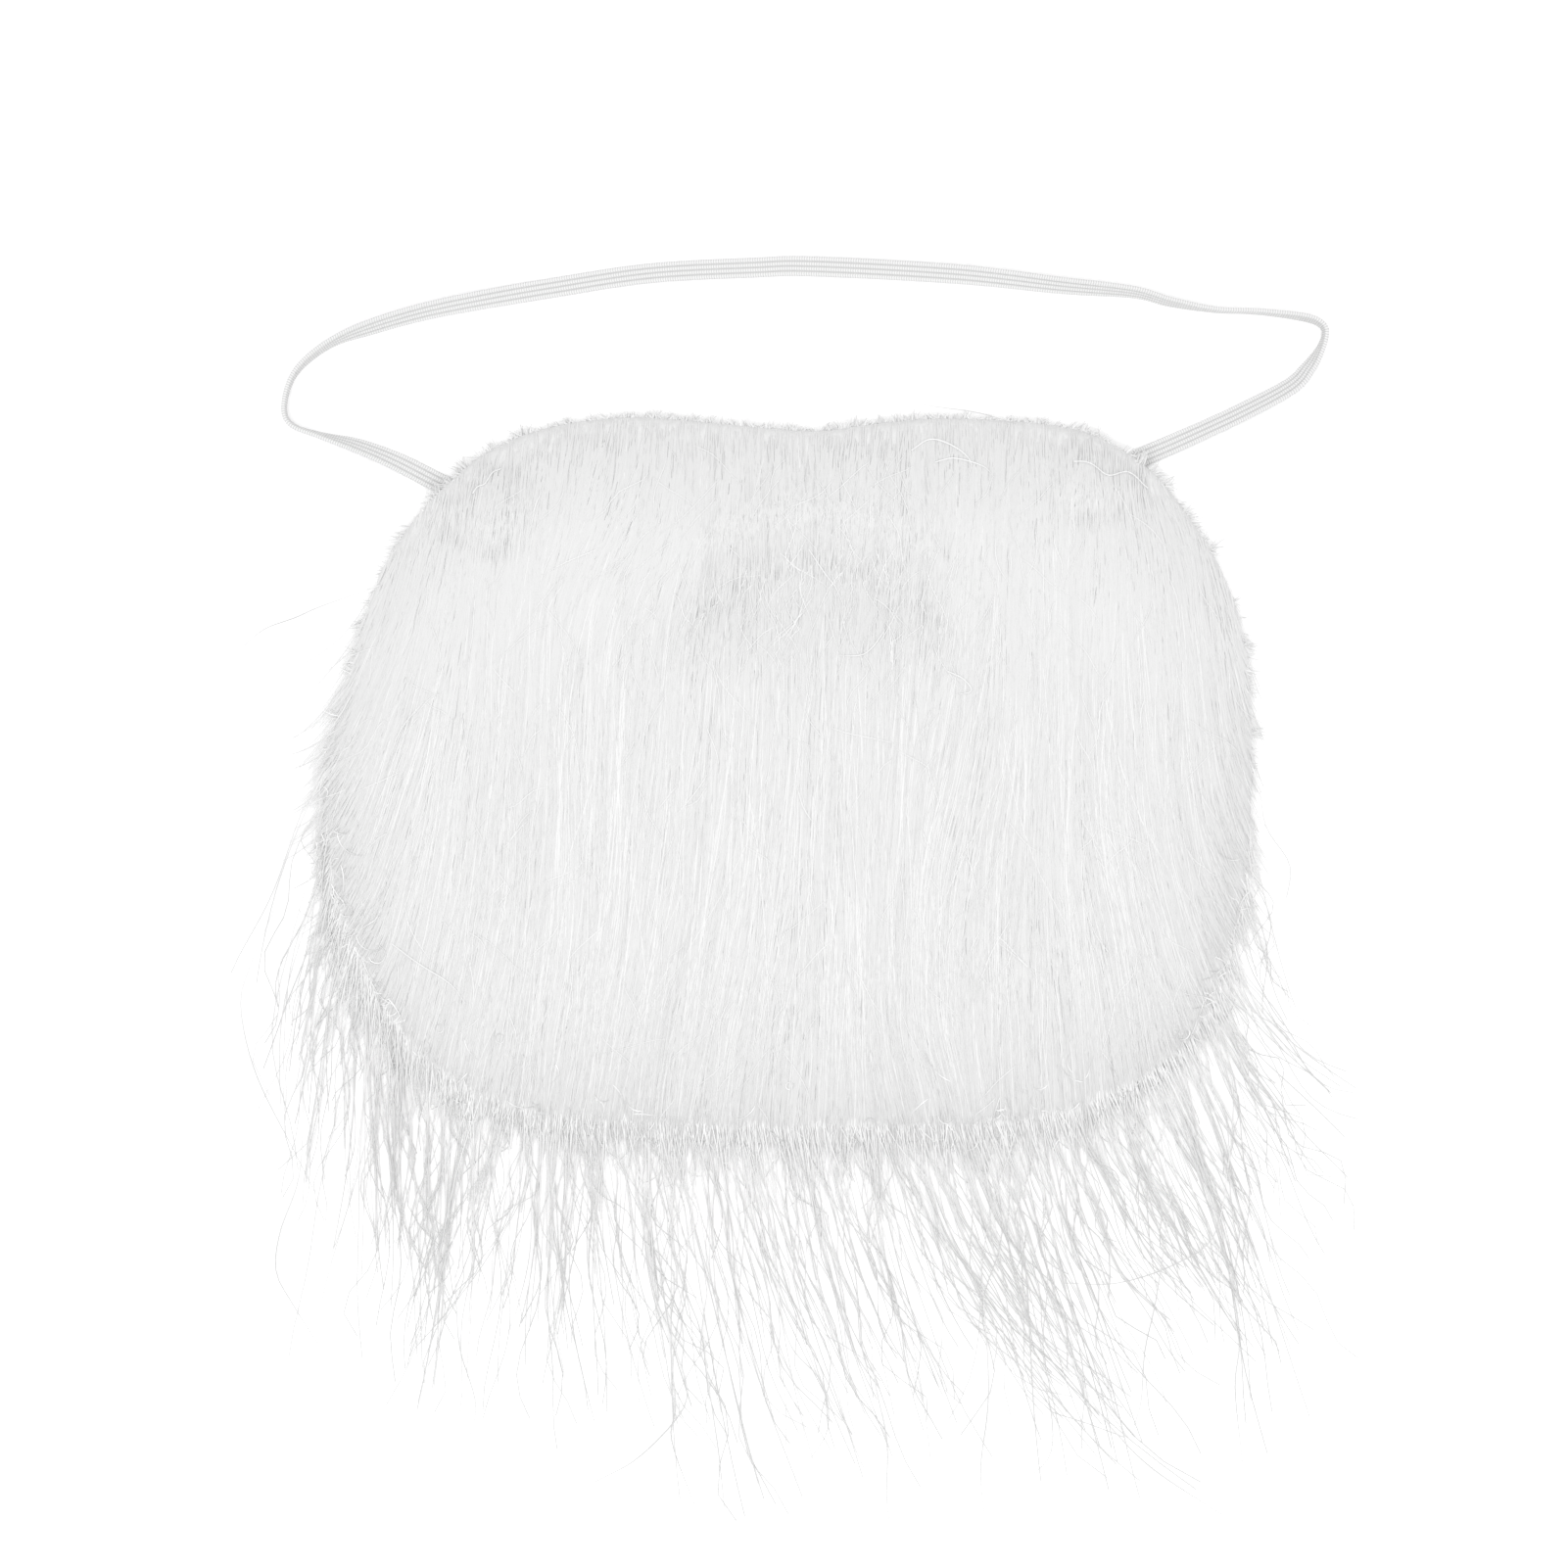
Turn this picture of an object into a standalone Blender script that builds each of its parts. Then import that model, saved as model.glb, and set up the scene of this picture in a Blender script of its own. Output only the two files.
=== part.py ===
"""Fake beard of long white fur fabric on an elastic strap, lying face up on a table.

Metres, +Z up. The origin is the middle of the backing cloth's underside, which lies on the table.
+Y points to the beard's top edge, and the hair is combed towards -Y.
"""

import math
from collections import namedtuple

import bmesh
import bpy
import numpy as np
from mathutils.geometry import delaunay_2d_cdt

# Backing cloth
CLOTH_HALF_WIDTH = 0.1162
CLOTH_HALF_HEIGHT = 0.0839
CLOTH_THICKNESS = 0.0015
CLOTH_POINTS = 96

# Mouth slit, a lens between two shallow arches
MOUTH_WIDTH = 0.062
MOUTH_UPPER_RISE = 0.014
MOUTH_LOWER_DROP = 0.003
MOUTH_BELOW_TOP = 0.0440
MOUTH_TO_RIGHT = 0.006
MOUTH_POINTS = 20

# Pile
PILE_PAST_SIDE = 0.0022
PILE_PAST_HEM = 0.0105
PILE_EDGE_HEIGHT = 0.0042
PILE_CROWN_HEIGHT = 0.0150
PILE_ROLL_WIDTH = 0.026
PILE_OFF_TABLE = 0.0004
STRIP_COUNT = 24
STRIP_RELIEF = 0.0012
STRIP_ROW_PITCH = 0.0125
MOUTH_DENT = 0.0035
MOUTH_DENT_SPREAD = 0.012
MOUTH_COVER = 0.0035

# Locks of the fringe
HAIR_REACH = 0.100
LOCK_WIDTH = 0.0080
LOCK_THICKNESS = 0.0046
LOCK_TIP = 0.13
LOCK_ROOT = 0.016
LOCK_SIDES = 6
LOCK_OFF_TABLE = 0.0001
LOCK_STAGGER = 0.0007
LOCK_LAYERS = 11
SHORT_LOCK_SHARE = 0.55

# Elastic strap
STRAP_WIDTH = 0.0050
STRAP_THICKNESS = 0.0010
STRAP_RIBS = 4
STRAP_RIB_RELIEF = 0.00022
STRAP_SPAN = 0.2655
STRAP_RISE = 0.0408
STRAP_STATIONS = 64
TAB_LENGTH = 0.015
TAB_SLOPE = 0.009
TAB_PITCH = 0.003
TURN_RUN = 0.016

# Clearances between pieces
SEAT_GAP = 0.0004
STEP_GAP = 0.0005

Point = namedtuple("Point", "across up")
Turn = namedtuple("Turn", "across up tilt")
Lock = namedtuple("Lock", "hem lean drop bow width")

# Edge of the cloth, from the dip in the top edge round by the left side, as shares of its half sizes
CLOTH_EDGE = (
    Point(0.048, 0.958),
    Point(-0.184, 0.985),
    Point(-0.356, 1.000),
    Point(-0.522, 0.970),
    Point(-0.642, 0.907),
    Point(-0.735, 0.803),
    Point(-0.827, 0.666),
    Point(-0.890, 0.496),
    Point(-0.937, 0.270),
    Point(-0.980, 0.076),
    Point(-0.999, -0.082),
    Point(-0.958, -0.395),
    Point(-0.823, -0.723),
    Point(-0.597, -0.940),
    Point(-0.231, -0.994),
    Point(0.199, -1.000),
    Point(0.586, -0.958),
    Point(0.844, -0.761),
    Point(0.965, -0.440),
    Point(0.999, -0.052),
    Point(0.980, 0.335),
    Point(0.937, 0.538),
    Point(0.868, 0.696),
    Point(0.789, 0.833),
    Point(0.664, 0.946),
    Point(0.543, 0.982),
    Point(0.332, 0.997),
    Point(0.160, 0.976),
)

# Free run of the strap from its left end to its right end. Across is a share of the span, up a share
# of the rise above the cloth's highest point, and tilt turns the band from flat (0) to on edge (90).
STRAP_TURNS = (
    Turn(-0.335, -0.361, 6.0),
    Turn(-0.376, -0.226, 24.0),
    Turn(-0.414, -0.128, 45.0),
    Turn(-0.451, -0.060, 76.0),
    Turn(-0.477, 0.001, 84.0),
    Turn(-0.485, 0.099, 90.0),
    Turn(-0.479, 0.277, 88.0),
    Turn(-0.464, 0.405, 82.0),
    Turn(-0.437, 0.528, 74.0),
    Turn(-0.403, 0.614, 50.0),
    Turn(-0.356, 0.705, 38.0),
    Turn(-0.303, 0.779, 24.0),
    Turn(-0.228, 0.865, 4.0),
    Turn(-0.134, 0.957, 0.0),
    Turn(-0.033, 0.993, 0.0),
    Turn(0.023, 1.000, 4.0),
    Turn(0.160, 0.951, 18.0),
    Turn(0.262, 0.877, 42.0),
    Turn(0.331, 0.834, 66.0),
    Turn(0.366, 0.773, 74.0),
    Turn(0.410, 0.724, 88.0),
    Turn(0.451, 0.712, 88.0),
    Turn(0.496, 0.675, 80.0),
    Turn(0.513, 0.626, 84.0),
    Turn(0.515, 0.558, 84.0),
    Turn(0.509, 0.460, 72.0),
    Turn(0.499, 0.362, 50.0),
    Turn(0.482, 0.246, 34.0),
    Turn(0.434, 0.080, 22.0),
    Turn(0.383, -0.073, 18.0),
    Turn(0.339, -0.195, 10.0),
)

# Locks along the hem, from the cloth's left side to its right side. Hem is the share of the way along,
# lean, drop and bow are shares of the hair's reach, and width is a share of the usual lock's.
LOCKS = (
    Lock(0.007, -0.161, 0.500, -0.025, 0.60),
    Lock(0.050, -0.092, 0.824, -0.083, 0.70),
    Lock(0.079, -0.101, 0.397, -0.003, 0.80),
    Lock(0.119, -0.106, 0.639, -0.021, 0.80),
    Lock(0.143, -0.040, 0.637, 0.005, 0.80),
    Lock(0.167, 0.005, 0.836, -0.020, 1.00),
    Lock(0.205, 0.011, 0.821, -0.017, 1.00),
    Lock(0.246, -0.050, 0.688, 0.012, 1.00),
    Lock(0.284, -0.120, 0.716, 0.000, 1.10),
    Lock(0.306, -0.036, 0.432, 0.017, 0.70),
    Lock(0.332, 0.024, 0.755, -0.022, 1.10),
    Lock(0.353, -0.005, 0.586, 0.008, 0.90),
    Lock(0.368, 0.167, 0.758, -0.045, 1.20),
    Lock(0.392, 0.093, 0.654, -0.018, 0.90),
    Lock(0.421, 0.100, 0.899, -0.017, 0.80),
    Lock(0.453, 0.190, 0.645, -0.025, 1.10),
    Lock(0.488, 0.245, 0.817, -0.018, 1.20),
    Lock(0.524, 0.188, 0.568, -0.033, 1.00),
    Lock(0.545, 0.145, 0.744, -0.017, 0.90),
    Lock(0.577, 0.313, 0.622, -0.064, 1.20),
    Lock(0.595, 0.500, 0.818, -0.117, 1.30),
    Lock(0.623, 0.237, 0.664, -0.017, 1.00),
    Lock(0.648, 0.217, 0.845, 0.014, 0.90),
    Lock(0.674, 0.219, 0.669, -0.010, 1.00),
    Lock(0.700, 0.277, 0.546, -0.047, 1.00),
    Lock(0.727, 0.324, 0.594, -0.024, 0.90),
    Lock(0.747, 0.203, 0.449, -0.021, 0.90),
    Lock(0.773, 0.312, 0.893, 0.021, 1.00),
    Lock(0.793, 0.223, 0.592, 0.018, 0.90),
    Lock(0.817, 0.285, 0.507, -0.003, 0.90),
    Lock(0.841, 0.215, 0.321, -0.024, 0.80),
    Lock(0.871, 0.220, 0.308, -0.039, 0.70),
    Lock(0.915, 0.073, 0.298, -0.003, 0.50),
)


def ease(share):
    """A smooth step from 0 to 1."""
    share = np.clip(share, 0.0, 1.0)
    return share * share * (3.0 - 2.0 * share)


def resample(line, count, closed):
    """Points at even distances along a line or round a loop."""
    line = np.vstack([line, line[:1]]) if closed else line
    along = np.concatenate([[0.0], np.cumsum(np.linalg.norm(np.diff(line, axis=0), axis=1))])
    at = np.linspace(0.0, along[-1], count, endpoint=not closed)
    return np.stack([np.interp(at, along, line[:, k]) for k in range(line.shape[1])], axis=1)


def spline(points, count, closed):
    """An even Catmull-Rom curve through the points."""
    points = np.asarray(points, float)
    if closed:
        padded = np.vstack([points[-1:], points, points[:2]])
    else:
        padded = np.vstack([2 * points[0] - points[1], points, 2 * points[-1] - points[-2]])
    steps = np.linspace(0.0, 1.0, 16, endpoint=False)[:, None]
    pieces = []
    for a, b, c, d in zip(padded, padded[1:], padded[2:], padded[3:]):
        pieces.append(
            0.5
            * (
                2 * b
                + (c - a) * steps
                + (2 * a - 5 * b + 4 * c - d) * steps**2
                + (3 * b - a - 3 * c + d) * steps**3
            )
        )
    if not closed:
        pieces.append(points[-1:])
    return resample(np.vstack(pieces), count, closed)


def outward(loop):
    """Unit normals that point out of a counter-clockwise loop."""
    along = np.roll(loop, -1, axis=0) - np.roll(loop, 1, axis=0)
    normal = np.stack([along[:, 1], -along[:, 0]], axis=1)
    return normal / np.linalg.norm(normal, axis=1)[:, None]


def is_inside(points, loop):
    """Whether each point lies inside the loop."""
    x, y = points[:, 0, None], points[:, 1, None]
    a, b = loop, np.roll(loop, -1, axis=0)
    straddles = (a[:, 1] > y) != (b[:, 1] > y)
    rise = np.where(b[:, 1] == a[:, 1], 1e-12, b[:, 1] - a[:, 1])
    crossing = a[:, 0] + (y - a[:, 1]) / rise * (b[:, 0] - a[:, 0])
    return (straddles & (x < crossing)).sum(axis=1) % 2 == 1


def depth_inside(points, loop):
    """Each point's distance from the loop, positive inside it."""
    points = np.asarray(points, float).reshape(-1, 2)
    a, b = loop, np.roll(loop, -1, axis=0)
    run = b - a
    to_point = points[:, None, :] - a
    share = np.clip((to_point * run).sum(2) / (run * run).sum(1), 0.0, 1.0)
    distance = np.linalg.norm(to_point - share[:, :, None] * run, axis=2).min(axis=1)
    return np.where(is_inside(points, loop), distance, -distance)


def distance_to_segment(points, start, end):
    run = end - start
    share = np.clip(((points - start) @ run) / (run @ run), 0.0, 1.0)
    return np.linalg.norm(points - start - share[:, None] * run, axis=1)


def cloth_loop():
    half = np.array([CLOTH_HALF_WIDTH, CLOTH_HALF_HEIGHT])
    return spline(np.array(CLOTH_EDGE) * half, CLOTH_POINTS, closed=True)


def pile_loop(cloth):
    """The pile stands a little past the cloth at its sides and further past its hem."""
    normal = outward(cloth)
    down = ease(-normal[:, 1])
    past = PILE_PAST_SIDE + (PILE_PAST_HEM - PILE_PAST_SIDE) * down
    return cloth + normal * past[:, None]


def mouth_corner_height(cloth):
    return cloth[:, 1].max() - MOUTH_BELOW_TOP


def mouth_loop(cloth, wider=0.0):
    """The slit's edge, counter-clockwise from its right corner, moved out by wider."""
    share = np.cos(np.linspace(0.0, math.pi, MOUTH_POINTS // 2 + 1))
    arch = 1.0 - share**2
    upper = np.stack([share * MOUTH_WIDTH / 2, arch * MOUTH_UPPER_RISE], axis=1)
    lower = np.stack([-share * MOUTH_WIDTH / 2, -arch * MOUTH_LOWER_DROP], axis=1)
    loop = np.vstack([upper[:-1], lower[:-1]])
    loop += (MOUTH_TO_RIGHT, mouth_corner_height(cloth))
    return loop + outward(loop) * wider


def tab_end(inner, outer):
    """The hidden end of the strap, straight on from its first or last two turns."""
    inward = (inner - outer) / np.linalg.norm(inner - outer)
    return inner + inward * TAB_LENGTH


Strap = namedtuple("Strap", "left_end left_out right_out right_end turns")


def strap_layout(cloth):
    """Where the strap's ends are sewn under the cloth's corners, and where its free run turns."""
    top = cloth[:, 1].max()
    turns = [(t.across * STRAP_SPAN, top + t.up * STRAP_RISE, t.tilt) for t in STRAP_TURNS]
    places = np.array(turns)[:, :2]
    left, right = tab_end(places[0], places[1]), tab_end(places[-1], places[-2])
    return Strap(left, places[1], places[-2], right, turns)


def strap_tabs(strap):
    """For each sewn end: its inner end, and a point of the strap's run outside the pile."""
    return ((strap.left_end, strap.left_out), (strap.right_end, strap.right_out))


def cloth_lift(points, strap):
    """How far the strap's sewn ends lift the cloth and the pile off the table."""
    lift = np.zeros(len(points))
    for end, out in strap_tabs(strap):
        away = distance_to_segment(points, end, out)
        slope = 1.0 - ease((away - STRAP_WIDTH / 2 - 2 * STEP_GAP) / TAB_SLOPE)
        lift = np.maximum(lift, slope * (STRAP_THICKNESS + 2 * STRAP_RIB_RELIEF + SEAT_GAP))
    return lift


def tab_grid(strap):
    """Points over the sewn ends, where the cloth bends."""
    reach = STRAP_WIDTH / 2 + TAB_SLOPE
    found = []
    for end, out in strap_tabs(strap):
        low, high = np.minimum(end, out) - reach, np.maximum(end, out) + reach
        x, y = np.meshgrid(np.arange(low[0], high[0], TAB_PITCH), np.arange(low[1], high[1], TAB_PITCH))
        points = np.stack([x.ravel(), y.ravel()], axis=1)
        found.append(points[distance_to_segment(points, end, out) < reach])
    return np.vstack(found)


def flat_sheet(edges, spots, holes):
    """A flat triangle mesh inside the first edge and outside the holes, through every edge and spot."""
    points, lines = [], []
    for edge in edges:
        ring = range(len(points), len(points) + len(edge))
        lines += list(zip(ring, [*ring[1:], ring[0]]))
        points += [tuple(spot) for spot in edge]
    points += [tuple(spot) for spot in spots]
    flat, _, faces, _, _, _ = delaunay_2d_cdt(points, lines, [], 0, 1e-7)
    flat = np.array([tuple(spot) for spot in flat])
    centres = np.array([flat[list(face)].mean(axis=0) for face in faces])
    keep = is_inside(centres, edges[0])
    for hole in holes:
        keep &= ~is_inside(centres, hole)
    sheet = bmesh.new()
    corners = [sheet.verts.new((x, y, 0.0)) for x, y in flat]
    for face, kept in zip(faces, keep):
        if kept:
            sheet.faces.new([corners[i] for i in face])
    bmesh.ops.delete(sheet, geom=[v for v in sheet.verts if not v.link_faces], context="VERTS")
    return sheet


def flat_points(sheet):
    return np.array([vertex.co[:2] for vertex in sheet.verts])


def set_heights(vertices, heights):
    for vertex, height in zip(vertices, heights):
        vertex.co.z = height


def finished(sheet, name):
    """The bmesh as a mesh, with its normals outward."""
    mesh = bpy.data.meshes.new(name)
    sheet.to_mesh(mesh)
    sheet.free()
    return mesh


def backing_mesh(cloth, strap):
    """The underside of the backing cloth, with the mouth slit, lifted where the strap is sewn under it."""
    mouth = mouth_loop(cloth)
    spots = tab_grid(strap)
    spots = spots[depth_inside(spots, cloth) > 0.0012]
    sheet = flat_sheet([cloth, mouth], spots, [mouth])
    set_heights(sheet.verts, cloth_lift(flat_points(sheet), strap))
    return finished(sheet, "backing")


def seat_mesh(cloth, strap):
    """The upper side of the room that the pile leaves for the cloth."""
    seat = cloth + outward(cloth) * STEP_GAP
    spots = tab_grid(strap)
    spots = spots[depth_inside(spots, seat) > 0.0012]
    sheet = flat_sheet([seat], spots, [])
    lift = cloth_lift(flat_points(sheet), strap)
    set_heights(sheet.verts, lift + CLOTH_THICKNESS + SEAT_GAP)
    return finished(sheet, "cloth_seat")


def pocket_mesh(cloth):
    """The hollow behind the mouth slit, up to the hair that hangs over it."""
    solid = flat_sheet([mouth_loop(cloth, STEP_GAP)], [], [])
    raised = bmesh.ops.extrude_face_region(solid, geom=solid.faces[:])["geom"]
    roof = [part for part in raised if isinstance(part, bmesh.types.BMVert)]
    set_heights(roof, [PILE_CROWN_HEIGHT - MOUTH_DENT - MOUTH_COVER] * len(roof))
    bmesh.ops.recalc_face_normals(solid, faces=solid.faces)
    return finished(solid, "mouth_pocket")


def pile_crown(points, pile, cloth, strap, strips):
    """Height of the pile's upper side above the table. Strips is -1 in a valley and 1 on a ridge."""
    roll = ease(depth_inside(points, pile) / PILE_ROLL_WIDTH)
    height = PILE_EDGE_HEIGHT + (PILE_CROWN_HEIGHT - PILE_EDGE_HEIGHT) * roll
    height = height + strips * STRIP_RELIEF / 2 * roll
    slit = depth_inside(points, mouth_loop(cloth))
    height = height - MOUTH_DENT * ease(1.0 + slit / MOUTH_DENT_SPREAD)
    return height + cloth_lift(points, strap)


def strip_columns(pile):
    """Lines of points down the pile, in turn on a valley and on a ridge, with that sign."""
    low, high = pile.min(axis=0), pile.max(axis=0)
    rows = np.arange(low[1] + STRIP_ROW_PITCH / 2, high[1], STRIP_ROW_PITCH)
    half_width = (high[0] - low[0]) / 2
    centre = (high[0] + low[0]) / 2
    points, signs = [], []
    for k in range(2 * STRIP_COUNT + 1):
        share = k / STRIP_COUNT - 1.0
        # The hair fans out from the top edge, so the columns lie closer together there
        fan = 0.78 + 0.22 * ease((high[1] - rows) / (0.6 * (high[1] - low[1])))
        points.append(np.stack([centre + share * half_width * fan, rows], axis=1))
        signs.append(np.full(len(rows), 1.0 if k % 2 else -1.0))
    return np.vstack(points), np.concatenate(signs)


def mat_mesh(pile, cloth, strap):
    """The pile without its fringe: ridged strips above and a flat underside just off the table."""
    columns, signs = strip_columns(pile)
    kept = depth_inside(columns, pile) > STRIP_ROW_PITCH / 4
    columns, signs = columns[kept], signs[kept]
    shoulder = pile - outward(pile) * PILE_ROLL_WIDTH * 0.09
    tabs = tab_grid(strap)
    apart = np.linalg.norm(tabs[:, None, :] - columns[None, :, :], axis=2).min(axis=1)
    tabs = tabs[(depth_inside(tabs, shoulder) > TAB_PITCH / 3) & (apart > TAB_PITCH / 3)]
    mat = flat_sheet([pile, shoulder], np.vstack([columns, tabs]), [])
    crown = mat.verts[:]
    points = flat_points(mat)
    nearest = np.linalg.norm(points[:, None, :] - columns[None, :, :], axis=2)
    strips = np.where(nearest.min(axis=1) < 1e-6, signs[nearest.argmin(axis=1)], 0.0)
    lowered = bmesh.ops.extrude_face_region(mat, geom=mat.faces[:])["geom"]
    below = [part for part in lowered if isinstance(part, bmesh.types.BMVert)]
    spots = np.array([vertex.co[:2] for vertex in below])
    set_heights(crown, pile_crown(points, pile, cloth, strap, strips))
    set_heights(below, PILE_OFF_TABLE + cloth_lift(spots, strap))
    bmesh.ops.recalc_face_normals(mat, faces=mat.faces)
    return finished(mat, "mat")


def hem_arc(pile):
    """The lower side of the pile's edge, from its leftmost point to its rightmost."""
    left, right = pile[:, 0].argmin(), pile[:, 0].argmax()
    count = (right - left) % len(pile)
    return np.array([pile[(left + i) % len(pile)] for i in range(count + 1)])


def lock_line(lock, arc, stations):
    """Centre points of a lock: from its root inside the pile, over the hem and down to its tip."""
    along = np.concatenate([[0.0], np.cumsum(np.linalg.norm(np.diff(arc, axis=0), axis=1))])
    exit_x = np.interp(lock.hem * along[-1], along, arc[:, 0])
    exit_y = np.interp(lock.hem * along[-1], along, arc[:, 1])
    share = np.linspace(0.0, 1.0, stations)
    x = exit_x + HAIR_REACH * (lock.lean * share + 4 * lock.bow * share * (1 - share))
    y = exit_y - HAIR_REACH * lock.drop * share
    outer = (exit_x - arc[:, 0].mean()) / np.ptp(arc[:, 0])
    root_run = np.array([-0.9 * outer * abs(outer), 1.0])
    root = np.array([exit_x, exit_y]) + root_run / np.linalg.norm(root_run) * LOCK_ROOT
    return np.vstack([root, np.stack([x, y], axis=1)])


def lock_stations(lock, arc, cloth, stations, layer):
    """Centres and radii of one tapered lock that lies on the table. Each layer lies a little higher."""
    line = lock_line(lock, arc, stations)
    share = np.concatenate([[0.0], np.linspace(0.0, 1.0, stations)])
    taper = 1.0 - ease((share - 0.1) / 0.9)
    radii = LOCK_TIP + (lock.width - LOCK_TIP) * taper
    outside = -depth_inside(line, cloth) - radii * LOCK_WIDTH / 2
    on_cloth = 1.0 - ease((outside - 2 * STEP_GAP) / (2 * LOCK_THICKNESS))
    height = radii * LOCK_THICKNESS / 2 + on_cloth * (CLOTH_THICKNESS + 2 * SEAT_GAP)
    height += LOCK_OFF_TABLE + LOCK_STAGGER * layer / LOCK_LAYERS
    return np.column_stack([line, height]), radii


def between(a, b):
    """A shorter lock that fills the gap between two neighbours."""
    return Lock(
        (a.hem + b.hem) / 2,
        SHORT_LOCK_SHARE * (a.lean + b.lean) / 2,
        SHORT_LOCK_SHARE * (a.drop + b.drop) / 2,
        0.0,
        (a.width + b.width) / 2,
    )


def sweep(name, section, runs):
    """A closed mesh swept from a section along runs of (centres, radii, tilts)."""
    profile = bpy.data.curves.new(f"{name}_section", "CURVE")
    profile.dimensions = "2D"
    outline = profile.splines.new("POLY")
    outline.points.add(len(section) - 1)
    for point, (across, up) in zip(outline.points, section):
        point.co = (across, up, 0.0, 1.0)
    outline.use_cyclic_u = True
    profile_holder = bpy.data.objects.new(profile.name, profile)

    path = bpy.data.curves.new(f"{name}_path", "CURVE")
    path.dimensions = "3D"
    path.twist_mode = "Z_UP"
    path.bevel_mode = "OBJECT"
    path.bevel_object = profile_holder
    path.use_fill_caps = True
    for centres, radii, tilts in runs:
        spline = path.splines.new("POLY")
        spline.points.add(len(centres) - 1)
        for point, centre, radius, tilt in zip(spline.points, centres, radii, tilts):
            point.co = (*centre, 1.0)
            point.radius = radius
            point.tilt = tilt
    holder = bpy.data.objects.new(path.name, path)
    for helper in (profile_holder, holder):
        bpy.context.scene.collection.objects.link(helper)
    graph = bpy.context.evaluated_depsgraph_get()
    mesh = bpy.data.meshes.new_from_object(holder.evaluated_get(graph))
    mesh.name = name
    for helper in (holder, profile_holder):
        bpy.data.objects.remove(helper)
    work = bmesh.new()
    work.from_mesh(mesh)
    bmesh.ops.remove_doubles(work, verts=work.verts, dist=1e-6)
    bmesh.ops.recalc_face_normals(work, faces=work.faces)
    work.to_mesh(mesh)
    work.free()
    return mesh


def lock_section():
    """A flattened hexagon."""
    turns = [2 * math.pi * k / LOCK_SIDES for k in range(LOCK_SIDES)]
    flat = math.sin(math.pi / 3)
    return [
        (math.cos(turn) * LOCK_WIDTH / 2, math.sin(turn) / flat * LOCK_THICKNESS / 2)
        for turn in turns
    ]


def locks_mesh(pile, cloth):
    """Every lock of the fringe, to be joined to the pile."""
    arc = hem_arc(pile)
    locks = [(lock, 6) for lock in LOCKS]
    locks += [(between(a, b), 4) for a, b in zip(LOCKS, LOCKS[1:])]
    runs = []
    for number, (lock, stations) in enumerate(locks):
        layer = number * 4 % LOCK_LAYERS
        centres, radii = lock_stations(lock, arc, cloth, stations, layer)
        runs.append((centres, radii, np.zeros(len(radii))))
    return sweep("fringe_locks", lock_section(), runs)


def shells(work):
    """The faces of a mesh, grouped by the surface they belong to."""
    left = set(work.faces)
    while left:
        stack, shell = [left.pop()], []
        while stack:
            face = stack.pop()
            shell.append(face)
            for edge in face.edges:
                for other in edge.link_faces:
                    if other in left:
                        left.discard(other)
                        stack.append(other)
        yield shell


def signed_volume(shell):
    total = 0.0
    for face in shell:
        spots = [vertex.co for vertex in face.verts]
        for a, b in zip(spots[1:], spots[2:]):
            total += spots[0].dot(a.cross(b)) / 6
    return total


def add_helper(mesh, collection):
    helper = bpy.data.objects.new(mesh.name, mesh)
    helper.hide_render = True
    helper.display_type = "WIRE"
    collection.objects.link(helper)
    return helper


def boolean(target, operation, operand, crossing=False):
    """Joins or cuts with another solid. Crossing says that the operand's own runs cross one another."""
    step = target.modifiers.new(f"{operation.lower()}_{operand.name}", "BOOLEAN")
    step.operation = operation
    step.object = operand
    step.solver = "EXACT"
    step.use_self = crossing


def fur_mesh(pile, cloth, strap, helpers):
    """The mat and its locks as one solid, hollowed for the cloth and behind the mouth slit."""
    mat = add_helper(mat_mesh(pile, cloth, strap), helpers)
    locks = add_helper(locks_mesh(pile, cloth), helpers)
    seat = add_helper(seat_mesh(cloth, strap), helpers)
    depth = seat.modifiers.new("depth", "SOLIDIFY")
    depth.thickness = 3 * (CLOTH_THICKNESS + SEAT_GAP)
    depth.offset = -1.0
    pocket = add_helper(pocket_mesh(cloth), helpers)
    boolean(mat, "UNION", locks, crossing=True)
    boolean(mat, "DIFFERENCE", seat)
    boolean(mat, "DIFFERENCE", pocket)
    graph = bpy.context.evaluated_depsgraph_get()
    fur = bpy.data.meshes.new_from_object(mat.evaluated_get(graph))
    fur.name = "fur_pile"
    mat.modifiers.clear()

    work = bmesh.new()
    work.from_mesh(fur)
    # Air trapped between crossing locks is filled
    trapped = [face for shell in shells(work) if signed_volume(shell) < 0 for face in shell]
    bmesh.ops.delete(work, geom=trapped, context="FACES")
    bmesh.ops.dissolve_degenerate(work, edges=work.edges, dist=2e-6)
    bmesh.ops.triangulate(work, faces=work.faces)
    work.to_mesh(fur)
    work.free()
    return fur


def strap_section():
    """Half profile heights across the strap: each side has one ridge for each rib."""
    steps = 2 * STRAP_RIBS
    across = np.linspace(-0.5, 0.5, steps + 1)
    ridge = np.where(np.arange(steps + 1) % 2 == 1, STRAP_RIB_RELIEF, 0.0)
    half = STRAP_THICKNESS / 2
    upper = [(a * STRAP_WIDTH, half + r) for a, r in zip(across[1:-1], ridge[1:-1])]
    lower = [(a * STRAP_WIDTH, -half - r) for a, r in zip(across[1:-1], ridge[1:-1])]
    return [(-STRAP_WIDTH / 2, 0.0), *lower, (STRAP_WIDTH / 2, 0.0), *reversed(upper)]


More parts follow.
